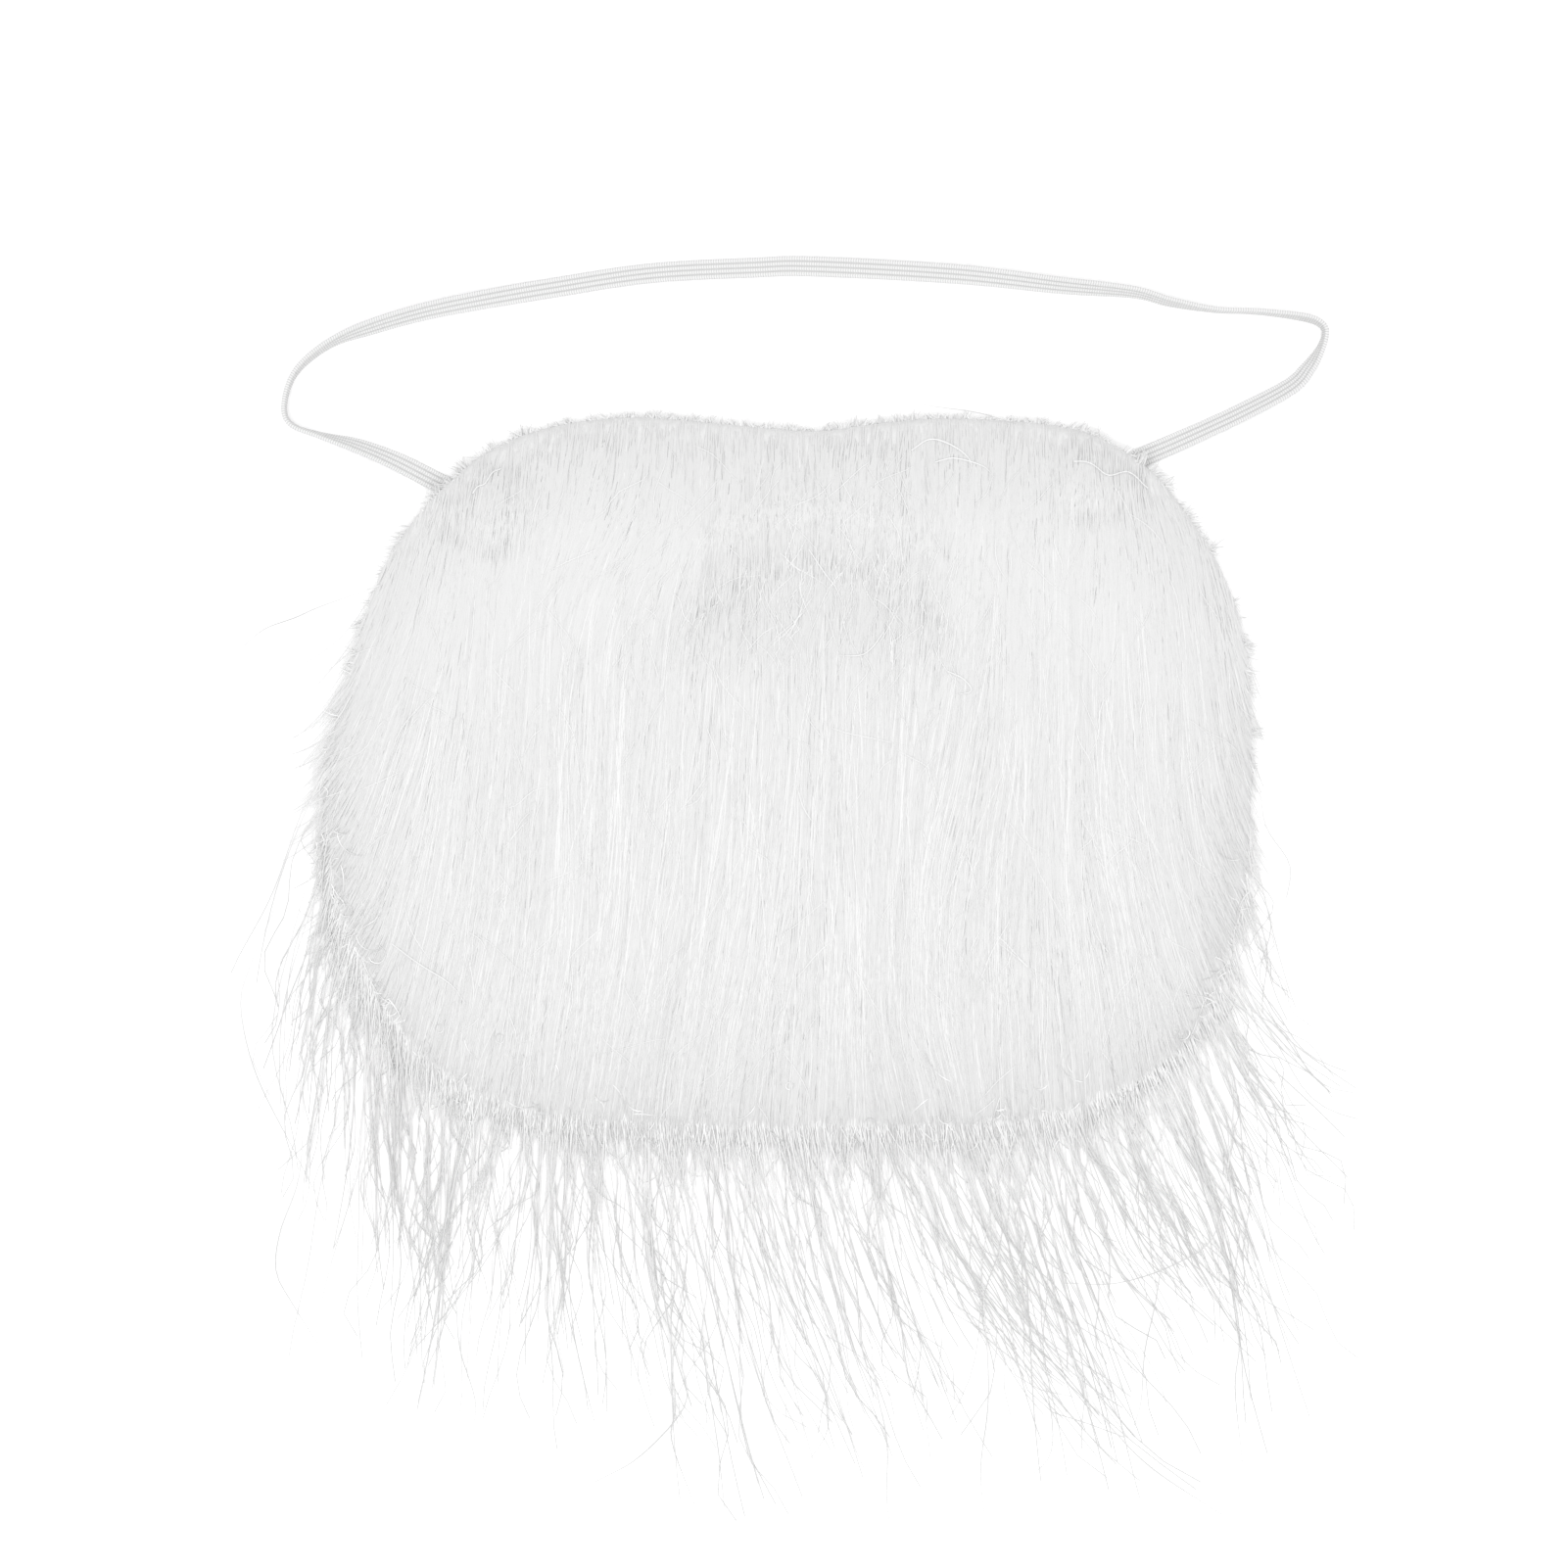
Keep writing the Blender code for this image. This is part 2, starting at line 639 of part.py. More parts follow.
def strap_mesh(strap, pile):
    """The elastic strap: a ribbed band, flat under the pile and on edge at its bends."""
    route = [(*strap.left_end, 0.0), *strap.turns, (*strap.right_end, 0.0)]
    # A degree of tilt counts as a tenth of a micron, so that it doesn't change the spacing
    line = spline(np.array(route) * (1, 1, 1e-7), STRAP_STATIONS, closed=False)
    outside = -depth_inside(line[:, :2], pile) - STRAP_WIDTH / 2
    tilt = np.radians(np.clip(line[:, 2] * 1e7, 0.0, 90.0)) * ease(outside / TURN_RUN)
    thick = STRAP_THICKNESS / 2 + STRAP_RIB_RELIEF
    height = STRAP_WIDTH / 2 * np.sin(tilt) + thick * np.cos(tilt)
    centres = np.column_stack([line[:, :2], height])
    return sweep("elastic_strap", strap_section(), [(centres, np.ones(len(line)), tilt)])


def material(name, colour, roughness):
    made = bpy.data.materials.new(name)
    made.use_nodes = True
    shader = made.node_tree.nodes["Principled BSDF"]
    shader.inputs["Base Color"].default_value = (*colour, 1.0)
    shader.inputs["Roughness"].default_value = roughness
    shader.inputs["Metallic"].default_value = 0.0
    return made


def add_piece(mesh, finish, collection):
    mesh.materials.clear()
    mesh.materials.append(finish)
    mesh.shade_smooth()
    mesh.set_sharp_from_angle(angle=math.radians(50))
    piece = bpy.data.objects.new(mesh.name, mesh)
    collection.objects.link(piece)
    return piece


def clear_scene():
    for old in list(bpy.data.objects):
        bpy.data.objects.remove(old)


def main():
    clear_scene()
    parts = bpy.data.collections.new("fake_beard")
    helpers = bpy.data.collections.new("cutters")
    for collection in (parts, helpers):
        bpy.context.scene.collection.children.link(collection)

    cloth = cloth_loop()
    pile = pile_loop(cloth)
    strap = strap_layout(cloth)

    knit = material("knit_backing", (0.80, 0.80, 0.79), 0.9)
    hair = material("white_pile", (0.86, 0.86, 0.86), 0.6)
    elastic = material("braided_elastic", (0.84, 0.84, 0.84), 0.7)
    backing = add_piece(backing_mesh(cloth, strap), knit, parts)
    thickness = backing.modifiers.new("thickness", "SOLIDIFY")
    thickness.thickness = CLOTH_THICKNESS
    thickness.offset = 1.0
    add_piece(fur_mesh(pile, cloth, strap, helpers), hair, parts)
    add_piece(strap_mesh(strap, pile), elastic, parts)


main()
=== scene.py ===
"""Fake beard of long white fur fabric with a flat elastic, laid on a pale table.

Metres, in the model's own frame: +Z out of the fur, +Y to the beard's top edge, hair combed to -Y.
"""

import math
from collections import namedtuple

import bmesh
import bpy
import numpy as np
from mathutils.geometry import delaunay_2d_cdt
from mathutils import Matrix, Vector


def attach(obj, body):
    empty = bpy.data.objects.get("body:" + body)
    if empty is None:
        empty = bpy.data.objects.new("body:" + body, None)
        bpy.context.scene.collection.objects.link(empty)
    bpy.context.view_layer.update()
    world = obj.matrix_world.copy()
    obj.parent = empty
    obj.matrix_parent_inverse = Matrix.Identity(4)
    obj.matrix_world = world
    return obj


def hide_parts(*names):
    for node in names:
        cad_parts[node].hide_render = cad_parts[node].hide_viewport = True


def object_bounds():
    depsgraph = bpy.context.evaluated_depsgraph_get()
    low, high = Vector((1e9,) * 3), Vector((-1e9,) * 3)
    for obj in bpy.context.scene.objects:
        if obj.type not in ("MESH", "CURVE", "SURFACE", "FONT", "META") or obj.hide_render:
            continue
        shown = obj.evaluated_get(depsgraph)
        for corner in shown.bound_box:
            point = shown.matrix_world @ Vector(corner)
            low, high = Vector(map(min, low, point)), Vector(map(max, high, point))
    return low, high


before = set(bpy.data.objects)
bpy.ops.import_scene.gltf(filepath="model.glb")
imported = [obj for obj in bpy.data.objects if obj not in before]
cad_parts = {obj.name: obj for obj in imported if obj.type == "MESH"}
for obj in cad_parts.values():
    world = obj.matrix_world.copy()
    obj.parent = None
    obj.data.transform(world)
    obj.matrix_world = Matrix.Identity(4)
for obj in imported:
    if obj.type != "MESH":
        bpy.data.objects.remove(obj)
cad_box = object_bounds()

MM = 0.001
HAIR_UV = "OFBake"
WEAVE_UV = "weave_map"
TONES = 64
SLIT_CLEAR = 1.0 * MM
STRAND_SECTION = ((-1.0, -0.20), (0.0, 0.16), (1.0, -0.20))

# Backing cloth and pile
CLOTH_HALF_WIDTH = 116.2 * MM
CLOTH_HALF_HEIGHT = 83.9 * MM
CLOTH_THICKNESS = 1.2 * MM
CLOTH_OFF_TABLE = 0.1 * MM
CLOTH_GRID = 3.2 * MM
PILE_PAST_SIDE = 2.2 * MM
PILE_PAST_HEM = 10.5 * MM
TOP_EDGE_HEIGHT = 5.4 * MM
HEM_EDGE_HEIGHT = 2.3 * MM
PILE_CROWN_HEIGHT = 14.6 * MM
TOP_ROLL_WIDTH = 32 * MM
HEM_ROLL_WIDTH = 44 * MM
HEM_ROLL_START = 8 * MM
HEM_ROLL_RUN = 60 * MM
PILE_ROUNDNESS = 1.9
TABLE_REST = 0.5 * MM
MOUTH_WIDTH = 62 * MM
MOUTH_UPPER_RISE = 14 * MM
MOUTH_LOWER_DROP = 3 * MM
MOUTH_BELOW_TOP = 44 * MM
MOUTH_TO_RIGHT = 6 * MM
MOUTH_DENT = 5.0 * MM
DENT_RISE = 16 * MM
DENT_ARCH = 13 * MM
DENT_LIP = 18 * MM
DENT_FADE = 16 * MM
# How much darker the hair over the mouth's dip is painted: painted shade
MOUTH_PAINTED_SHADE = 0.30
GROUND_BELOW_HAIR = 0.13 * MM
GROUND_INSET = 0.4 * MM
GROUND_SHOULDER = 2.9 * MM
GROUND_GRID = 2.6 * MM
MOST_BRIDGED = 0.2 * MM
HAIR_RELIEF = 0.10 * MM
LOWEST_HAIR = 0.25 * MM
# Rings of the ground's wall from the top down: share of the edge's height, millimetres turned in
# at the top edge and at the hem, and whether it is the sharp rim
GROUND_RINGS = ((0.50, -0.3, -2.0, False), (0.12, 0.6, -3.0, True), (0.12, 7.0, 15.5, False))

# Hair
HAIR_REACH = 100 * MM
BODY_HAIR_LENGTH = 68 * MM
BODY_ENDS_INSIDE = 1.4 * MM
BODY_ENDS_FALL = 3.4 * MM
BODY_ENDS_FURTHEST = 14 * MM
LEFT_ENDS_INSIDE = 4.0 * MM
RIGHT_ENDS_INSIDE = 7.0 * MM
SIDE_START = 80 * MM
SIDE_RUN = 25 * MM
LOOSE_START = 10 * MM
LOOSE_RUN = 52 * MM
BODY_STATIONS = 13
ROOT_SINK = 0.12 * MM
UNRULY_SHARE = 0.06
UNRULY_LEAN = 10.0
COMBED_LEAN = 1.9
# Tone of the bright hairs: a painted highlight along single hairs
HIGHLIGHT_TONE = 0.90
ENDS_AT_SLIT = 0.6
CROSSING_STRANDS = 560
FRINGE_STRANDS = 900
FRINGE_SHORT = 0.06
FRINGE_FALL = 0.72
FRINGE_LONGEST = 1.10
FRINGE_HAIR_WIDTH = 0.265 * MM
FRINGE_ROOT_STATIONS = 5
FRINGE_FREE_STATIONS = 15
LONE_STRANDS = 230
# How many of the hairs are kept at a share of the hem, from the left
FRINGE_ODDS = {0.0: 0.12, 0.10: 0.30, 0.20: 0.80, 0.78: 1.0, 0.86: 0.40, 0.92: 0.08, 1.0: 0.02}
LONE_ODDS = {0.0: 0.6, 0.12: 1.0, 0.85: 1.0, 0.93: 0.3}
HEM_CURLS = 150
EDGE_TUFTS = 560
TUFT_STRANDS = 4
TUFT_LENGTH = 2.3 * MM
TOP_STRANDS = 4700
TOP_STATIONS = 6
TOP_BAND = 9 * MM
TOP_LOWEST = 20 * MM

# Lean of the combed hair in degrees: overall, towards each side and towards the lower corners
COMB_LEAN = -3.0
SIDE_LEAN = {"right": 22, "left": 36}
LOW_LEAN = {"right": 14, "left": 8}
SWAY_LEAN = 5.0

# Room past the solids' box, at each side and below the fringe
ROOM_SIDE = 8.5 * MM
ROOM_BELOW = 18 * MM

# Elastic
STRAP_WIDTH = 5.0 * MM
STRAP_CORE = 0.34 * MM
STRAP_RIB = 0.36 * MM
STRAP_RIBS = 4
STRAP_STATIONS = 330
STRAP_OFF_TABLE = 0.35 * MM
STRAP_SPAN = 265.5 * MM
STRAP_RISE = 40.8 * MM
TAB_LENGTH = 15 * MM
TAB_SLOPE = 9 * MM
TAB_LIFT = 2.0 * MM
TURN_RUN = 16 * MM
# A degree of tilt counts as this length along the strap's line, too little to change its spacing
TILT_UNIT = 1e-7
THREAD_WIDTH = 0.28 * MM
STITCH_ROWS = (2.5 * MM, 5.0 * MM, 7.5 * MM)
STITCH_TURNS = 7

Stray = namedtuple("Stray", "width tone route")
Layer = namedtuple("Layer", "name strands width low high tone spread bright")
Parting = namedtuple("Parting", "across up half_width half_height lean")

# Edge of the cloth from the dip in its top edge round by the left side: shares of its half sizes
CLOTH_EDGE = (
    (0.048, 0.958), (-0.184, 0.985), (-0.356, 1.000), (-0.522, 0.970), (-0.642, 0.907),
    (-0.735, 0.803), (-0.827, 0.666), (-0.890, 0.496), (-0.937, 0.270), (-0.980, 0.076),
    (-0.999, -0.082), (-0.958, -0.395), (-0.823, -0.723), (-0.597, -0.940), (-0.231, -0.994),
    (0.199, -1.000), (0.586, -0.958), (0.844, -0.761), (0.965, -0.440), (0.999, -0.052),
    (0.980, 0.335), (0.937, 0.538), (0.868, 0.696), (0.789, 0.833), (0.664, 0.946), (0.543, 0.982),
    (0.332, 0.997), (0.160, 0.976),
)

# The strap's free run, left end to right end: shares of its span and rise, and the band's tilt
STRAP_TURNS = np.array((
    (-0.335, -0.361, 6.0), (-0.376, -0.226, 24.0), (-0.414, -0.128, 45.0), (-0.451, -0.060, 76.0),
    (-0.477, 0.001, 84.0), (-0.485, 0.099, 90.0), (-0.479, 0.277, 88.0), (-0.464, 0.405, 82.0),
    (-0.437, 0.528, 74.0), (-0.403, 0.614, 50.0), (-0.356, 0.705, 38.0), (-0.303, 0.779, 24.0),
    (-0.228, 0.865, 4.0), (-0.134, 0.957, 0.0), (-0.033, 0.993, 0.0), (0.023, 1.000, 4.0),
    (0.160, 0.951, 18.0), (0.262, 0.877, 42.0), (0.331, 0.834, 66.0), (0.366, 0.773, 74.0),
    (0.410, 0.724, 88.0), (0.451, 0.712, 88.0), (0.496, 0.675, 80.0), (0.513, 0.626, 84.0),
    (0.515, 0.558, 84.0), (0.509, 0.460, 72.0), (0.499, 0.362, 50.0), (0.482, 0.246, 34.0),
    (0.434, 0.080, 22.0), (0.383, -0.073, 18.0), (0.339, -0.195, 10.0),
))

# Locks along the hem: share of the way along it, then lean, drop and bow as shares of the
# hair's reach
LOCKS = np.array((
    (0.007, -0.161, 0.500, -0.025), (0.050, -0.092, 0.824, -0.083), (0.079, -0.101, 0.397, -0.003),
    (0.119, -0.106, 0.639, -0.021), (0.143, -0.040, 0.637, 0.005), (0.167, 0.005, 0.836, -0.020),
    (0.205, 0.011, 0.821, -0.017), (0.246, -0.050, 0.688, 0.012), (0.284, -0.120, 0.716, 0.000),
    (0.306, -0.036, 0.432, 0.017), (0.332, 0.024, 0.755, -0.022), (0.353, -0.005, 0.586, 0.008),
    (0.368, 0.167, 0.758, -0.045), (0.392, 0.093, 0.654, -0.018), (0.421, 0.100, 0.899, -0.017),
    (0.453, 0.190, 0.645, -0.025), (0.488, 0.245, 0.817, -0.018), (0.524, 0.188, 0.568, -0.033),
    (0.545, 0.145, 0.744, -0.017), (0.577, 0.313, 0.622, -0.064), (0.595, 0.500, 0.818, -0.117),
    (0.623, 0.237, 0.664, -0.017), (0.648, 0.217, 0.845, 0.014), (0.674, 0.219, 0.669, -0.010),
    (0.700, 0.277, 0.546, -0.047), (0.727, 0.324, 0.594, -0.024), (0.747, 0.203, 0.449, -0.021),
    (0.773, 0.312, 0.893, 0.021), (0.793, 0.223, 0.592, 0.018), (0.817, 0.285, 0.507, -0.003),
    (0.841, 0.215, 0.321, -0.024), (0.871, 0.220, 0.308, -0.039), (0.915, 0.073, 0.298, -0.003),
))

# The body's hair from the bottom up: number, width and lift in millimetres, tone, its random
# spread, and the share given the bright tone, a painted highlight
HAIR_LAYERS = (
    Layer("combed_hair_low", 3300, 0.54, 0.00, 0.04, 0.44, 0.02, 0.00),
    Layer("combed_hair_mid", 3600, 0.37, 0.02, 0.07, 0.41, 0.04, 0.02),
    Layer("combed_hair_upper", 3600, 0.29, 0.05, 0.11, 0.40, 0.055, 0.08),
    Layer("combed_hair_top", 3600, 0.21, 0.08, 0.16, 0.39, 0.07, 0.26),
)

# Places where the combing turns aside, in millimetres and degrees
PARTINGS = (
    Parting(-43, 50, 22, 17, -19),
    Parting(-26, -60, 22, 36, -8),
    Parting(45, -18, 14, 30, -10),
    Parting(30, -80, 17, 14, 14),
    Parting(10, 70, 30, 10, 3),
    Parting(95, 62, 14, 12, 14),
)

# Single hairs that lie across the fur, as routes in millimetres
CROSSING_STRAYS = [Stray(*row) for row in (
    (0.30, 0.95, ((-101, -48), (-94, -53), (-86, -58), (-82, -63))),
    (0.28, 0.95, ((5, 52), (9, 46), (12, 42), (14, 37))),
    (0.28, 0.95, ((24, 31), (21, 27), (18, 25), (12, 25))),
    (0.34, 1.00, ((31, 77), (36, 80), (42, 78), (46, 74), (45, 69))),
    (0.30, 1.00, ((37, 74), (42, 75), (49, 73), (52, 70))),
    (0.30, 0.95, ((40, 21), (44, 19), (46, 16), (42, 15))),
    (0.26, 1.00, ((103, 64), (106, 66), (107, 62), (104, 60), (102, 63))),
    (0.26, 1.00, ((107, 58), (111, 60), (112, 56), (108, 54), (106, 57))),
    (0.26, 1.00, ((110, 53), (114, 54), (114, 50), (111, 49))),
)]

# Single hairs that leave the beard, as routes in millimetres
OUTER_STRAYS = [Stray(*row) for row in (
    (0.30, 0.10, ((-104, 43), (-119, 38), (-126, 35), (-134, 32), (-140, 27))),
    (0.26, 0.10, ((28, 91), (35, 89), (48, 87), (58, 84))),
    (0.28, 0.10, ((-130, -36), (-138, -55), (-140, -65), (-136, -82), (-126, -102), (-121, -112))),
    (0.30, 0.05, (
        (-124, -85), (-125, -107), (-130, -122), (-131, -132), (-127, -140), (-120, -151)
    )),
    (0.32, 0.00, ((-34, -140), (-29, -152), (-26, -163), (-29, -170), (-39, -180), (-50, -186))),
    (0.30, 0.05, ((-32, -138), (-29, -165), (-30, -175), (-24, -192))),
    (0.28, 0.10, ((-22, -140), (-21, -157), (-18, -178), (-16, -197))),
    (0.30, 0.00, ((98, -110), (94, -138), (91, -152), (90, -165), (88, -172))),
    (0.28, 0.05, ((49, -128), (51, -162), (49, -182), (50, -195))),
    (0.28, 0.10, ((20, -140), (22, -160), (25, -175), (25, -190), (26, -198))),
    (0.28, 0.05, ((99, -88), (92, -107), (92, -122), (94, -137))),
    (0.28, 0.10, ((113, -100), (109, -122), (99, -130), (84, -135), (70, -135))),
    (0.28, 0.10, ((110, -126), (112, -140), (115, -150), (114, -162), (116, -182))),
    (0.28, 0.15, ((70, -150), (78, -166), (86, -176), (95, -184), (112, -195))),
    (0.26, 0.15, ((56, -136), (60, -150), (66, -163), (67, -178), (60, -186))),
    (0.26, 0.10, ((-86, -120), (-85, -140), (-84, -152), (-80, -166), (-82, -176))),
    (0.26, 0.10, ((-66, -100), (-66, -125), (-69, -140), (-72, -148))),
    (0.28, 0.10, ((-4, -130), (0, -150), (8, -160), (10, -172), (4, -182))),
)]

LEFT_STITCH = ((-80, 66), (-77, 69), (-73, 73))
RIGHT_STITCH = ((72, 74), (77, 73), (81, 71), (86, 71), (91, 68))

chance = np.random.default_rng(11)


# ---- Plane curves ----


def ease(share):
    """A smooth step from 0 to 1."""
    share = np.clip(share, 0.0, 1.0)
    return share * share * (3.0 - 2.0 * share)


def unit(vectors):
    """The vectors, each made one long."""
    return vectors / np.maximum(np.linalg.norm(vectors, axis=-1, keepdims=True), 1e-12)


def turned_left(vectors):
    """Flat vectors after a quarter turn to the left."""
    return np.stack([-vectors[..., 1], vectors[..., 0]], axis=-1)


def heading_down(angle):
    """Flat unit vectors that lean from straight down, in radians, positive to the right."""
    return np.stack([np.sin(angle), -np.cos(angle)], axis=-1)


def resample(line, count, closed=False):
    """Points at even distances along a line or round a loop."""
    line = np.vstack([line, line[:1]]) if closed else line
    along = np.concatenate([[0.0], np.cumsum(np.linalg.norm(np.diff(line, axis=0), axis=1))])
    at = np.linspace(0.0, along[-1], count, endpoint=not closed)
    return np.stack([np.interp(at, along, line[:, k]) for k in range(line.shape[1])], axis=1)


def spline(points, count, closed=False):
    """An even Catmull-Rom curve through the points."""
    points = np.asarray(points, float)
    if closed:
        padded = np.vstack([points[-1:], points, points[:2]])
    else:
        padded = np.vstack([2 * points[0] - points[1], points, 2 * points[-1] - points[-2]])
    steps = np.linspace(0.0, 1.0, 16, endpoint=False)[:, None]
    pieces = []
    for a, b, c, d in zip(padded, padded[1:], padded[2:], padded[3:]):
        bend = (2 * a - 5 * b + 4 * c - d) * steps**2 + (3 * b - a - 3 * c + d) * steps**3
        pieces.append(0.5 * (2 * b + (c - a) * steps + bend))
    if not closed:
        pieces.append(points[-1:])
    return resample(np.vstack(pieces), count, closed)


def outward(loop):
    """Unit normals that point out of a counter-clockwise loop."""
    return unit(-turned_left(np.roll(loop, -1, axis=0) - np.roll(loop, 1, axis=0)))


def is_inside(points, loop):
    x, y = points[:, 0, None], points[:, 1, None]
    a, b = loop, np.roll(loop, -1, axis=0)
    straddles = (a[:, 1] > y) != (b[:, 1] > y)
    rise = np.where(b[:, 1] == a[:, 1], 1e-12, b[:, 1] - a[:, 1])
    crossing = a[:, 0] + (y - a[:, 1]) / rise * (b[:, 0] - a[:, 0])
    return (straddles & (x < crossing)).sum(axis=1) % 2 == 1


def depth_inside(points, loop):
    """Each point's distance from the loop, positive inside it."""
    points = np.asarray(points, float).reshape(-1, 2)
    a, b = loop, np.roll(loop, -1, axis=0)
    run = b - a
    found = []
    for some in np.array_split(points, len(points) // 4000 + 1):
        to_point = some[:, None, :] - a
        share = np.clip((to_point * run).sum(2) / (run * run).sum(1), 0.0, 1.0)
        distance = np.linalg.norm(to_point - share[:, :, None] * run, axis=2).min(axis=1)
        found.append(np.where(is_inside(some, loop), distance, -distance))
    return np.concatenate(found)


def distance_to_segment(points, start, end):
    run = end - start
    share = np.clip(((points - start) @ run) / (run @ run), 0.0, 1.0)
    return np.linalg.norm(points - start - share[:, None] * run, axis=1)


# ---- Outlines and heights of the beard ----


def mouth_loop(cloth, wider=0.0):
    """The slit's edge, counter-clockwise from its right corner."""
    share = np.cos(np.linspace(0.0, math.pi, 17))
    arch = 1.0 - share**2
    upper = np.stack([share * MOUTH_WIDTH / 2, arch * MOUTH_UPPER_RISE], axis=1)
    lower = np.stack([-share * MOUTH_WIDTH / 2, -arch * MOUTH_LOWER_DROP], axis=1)
    loop = np.vstack([upper[:-1], lower[:-1]])
    loop += (MOUTH_TO_RIGHT, cloth[:, 1].max() - MOUTH_BELOW_TOP)
    return loop + outward(loop) * wider


cloth_edge = spline(np.array(CLOTH_EDGE) * (CLOTH_HALF_WIDTH, CLOTH_HALF_HEIGHT), 120, closed=True)
past = PILE_PAST_SIDE + (PILE_PAST_HEM - PILE_PAST_SIDE) * ease(-outward(cloth_edge)[:, 1])
pile_edge = cloth_edge + outward(cloth_edge) * past[:, None]
mouth_edge = mouth_loop(cloth_edge)


def strap_route():
    """The strap's whole line with its tilt, from one hidden end to the other, and its tabs."""
    top = cloth_edge[:, 1].max()
    turns = STRAP_TURNS[:, :2] * (STRAP_SPAN, STRAP_RISE) + (0.0, top)
    ends = []
    for inner, outer in ((turns[0], turns[1]), (turns[-1], turns[-2])):
        inward = (inner - outer) / np.linalg.norm(inner - outer)
        ends.append(inner + inward * TAB_LENGTH)
    tilts = np.array([0.0, *STRAP_TURNS[:, 2], 0.0]) * TILT_UNIT
    route = np.column_stack([np.vstack([ends[0], turns, ends[1]]), tilts])
    return route, ((ends[0], turns[1]), (ends[1], turns[-2]))


strap_line, strap_tabs = strap_route()


def tab_lift(points):
    """How far the strap's sewn ends lift the cloth and the pile."""
    lift = np.zeros(len(points))
    for end, out in strap_tabs:
        away = distance_to_segment(points, end, out)
        slope = 1.0 - ease((away - STRAP_WIDTH / 2 - 1.0 * MM) / TAB_SLOPE)
        lift = np.maximum(lift, slope * TAB_LIFT)
    return lift


class Chart:
    """Values on an even grid over the table, read between its points."""

    low = np.array([-165.0, -210.0]) * MM
    high = np.array([165.0, 110.0]) * MM
    pitch = 1.25 * MM

    def __init__(self, measure):
        self.shape = tuple(np.ceil((self.high - self.low) / self.pitch).astype(int) + 1)
        i, j = np.meshgrid(np.arange(self.shape[0]), np.arange(self.shape[1]), indexing="ij")
        spots = self.low + np.stack([i.ravel(), j.ravel()], axis=1) * self.pitch
        self.values = measure(spots).reshape(self.shape)

    def at(self, points):
        shape = points.shape[:-1]
        place = (points.reshape(-1, 2) - self.low) / self.pitch
        place = np.clip(place, 0.0, np.array(self.shape) - 1.001)
        cell = place.astype(int)
        i, j = cell.T
        a, b = (place - cell).T
        v = self.values
        lower = v[i, j] * (1 - a) + v[i + 1, j] * a
        upper = v[i, j + 1] * (1 - a) + v[i + 1, j + 1] * a
        return (lower * (1 - b) + upper * b).reshape(shape)


pile_depth = Chart(lambda spots: depth_inside(spots, pile_edge))
slit_depth = Chart(lambda spots: depth_inside(spots, mouth_edge))
lift_chart = Chart(tab_lift)


def mouth_dent(points):
    """Depth of the dip below the mouth's arch, where hair from above falls towards the slit."""
    across = (points[..., 0] - MOUTH_TO_RIGHT) / (MOUTH_WIDTH / 2)
    arch = CLOTH_HALF_HEIGHT - MOUTH_BELOW_TOP + DENT_RISE - DENT_ARCH * across**2
    below = arch - points[..., 1]
    sides = ease((1.40 - np.abs(across)) / 0.70) * (1.0 - 0.25 * np.minimum(across**2, 1.0))
    reach = DENT_FADE * (1.0 - 0.62 * np.minimum(across**2, 1.0))
    fade = np.exp(-(np.maximum(below - DENT_LIP / 2, 0.0) / reach) ** 1.5)
    return MOUTH_DENT * ease((below + DENT_LIP / 2) / DENT_LIP) * fade * sides


def towards_hem(points):
    """0 along the top edge and 1 along the hem, where the fur lies lower."""
    return ease((HEM_ROLL_START - points[..., 1]) / HEM_ROLL_RUN)


def edge_height(points):
    """Height of the fur's upper side at its edge."""
    return TOP_EDGE_HEIGHT + (HEM_EDGE_HEIGHT - TOP_EDGE_HEIGHT) * towards_hem(points)


def crown(points):
    """Height of the fur's upper side. Past its edge the hair comes down to the table."""
    depth = pile_depth.at(points)
    edge = edge_height(points)
    width = TOP_ROLL_WIDTH + (HEM_ROLL_WIDTH - TOP_ROLL_WIDTH) * towards_hem(points)
    roll = 1.0 - (1.0 - np.clip(depth / width, 0.0, 1.0)) ** PILE_ROUNDNESS
    height = edge + (PILE_CROWN_HEIGHT - edge) * roll
    slope = (PILE_CROWN_HEIGHT - edge) * PILE_ROUNDNESS / width
    drop = edge - TABLE_REST
    fall = TABLE_REST + drop * np.exp(np.minimum(depth, 0.0) * slope / drop)
    height = np.where(depth > 0, height, fall)
    return height - mouth_dent(points) + lift_chart.at(points) * ease(1.0 + depth / (3 * MM))


def sway(points, fine=1.0):
    """A gentle shared waviness of the hair, from -1 to 1."""
    x, y = points[..., 0], points[..., 1]
    slow = np.sin(95 * x + 31 * y + 0.6) + 0.8 * np.sin(190 * x - 42 * y + 4.1)
    quick = np.sin(420 * x + 58 * y + 1.3) + 0.8 * np.sin(735 * x - 96 * y + 2.2)
    return (slow + fine * 0.7 * quick) / 3.3


def comb_angle(points):
    """Lean of the combed hair from straight down, in radians, positive to the right."""
    x, y = points[..., 0], points[..., 1]
    side = np.clip(x / CLOTH_HALF_WIDTH, -1.1, 1.1)
    low_right = LOW_LEAN["right"] * ease((10 * MM - y) / (50 * MM))
    low_left = LOW_LEAN["left"] * ease((-y - 20 * MM) / (50 * MM))
    outer = np.where(side > 0, SIDE_LEAN["right"], SIDE_LEAN["left"])
    lower = np.where(side > 0, low_right, low_left)
    lean = COMB_LEAN + outer * side * np.abs(side) ** 5 + side * lower
    for parting in PARTINGS:
        across = (x - parting.across * MM) / (parting.half_width * MM)
        up = (y - parting.up * MM) / (parting.half_height * MM)
        lean = lean + parting.lean * np.exp(-(across**2) - up**2)
    return np.radians(lean + SWAY_LEAN * sway(points))


# ---- Hair ----


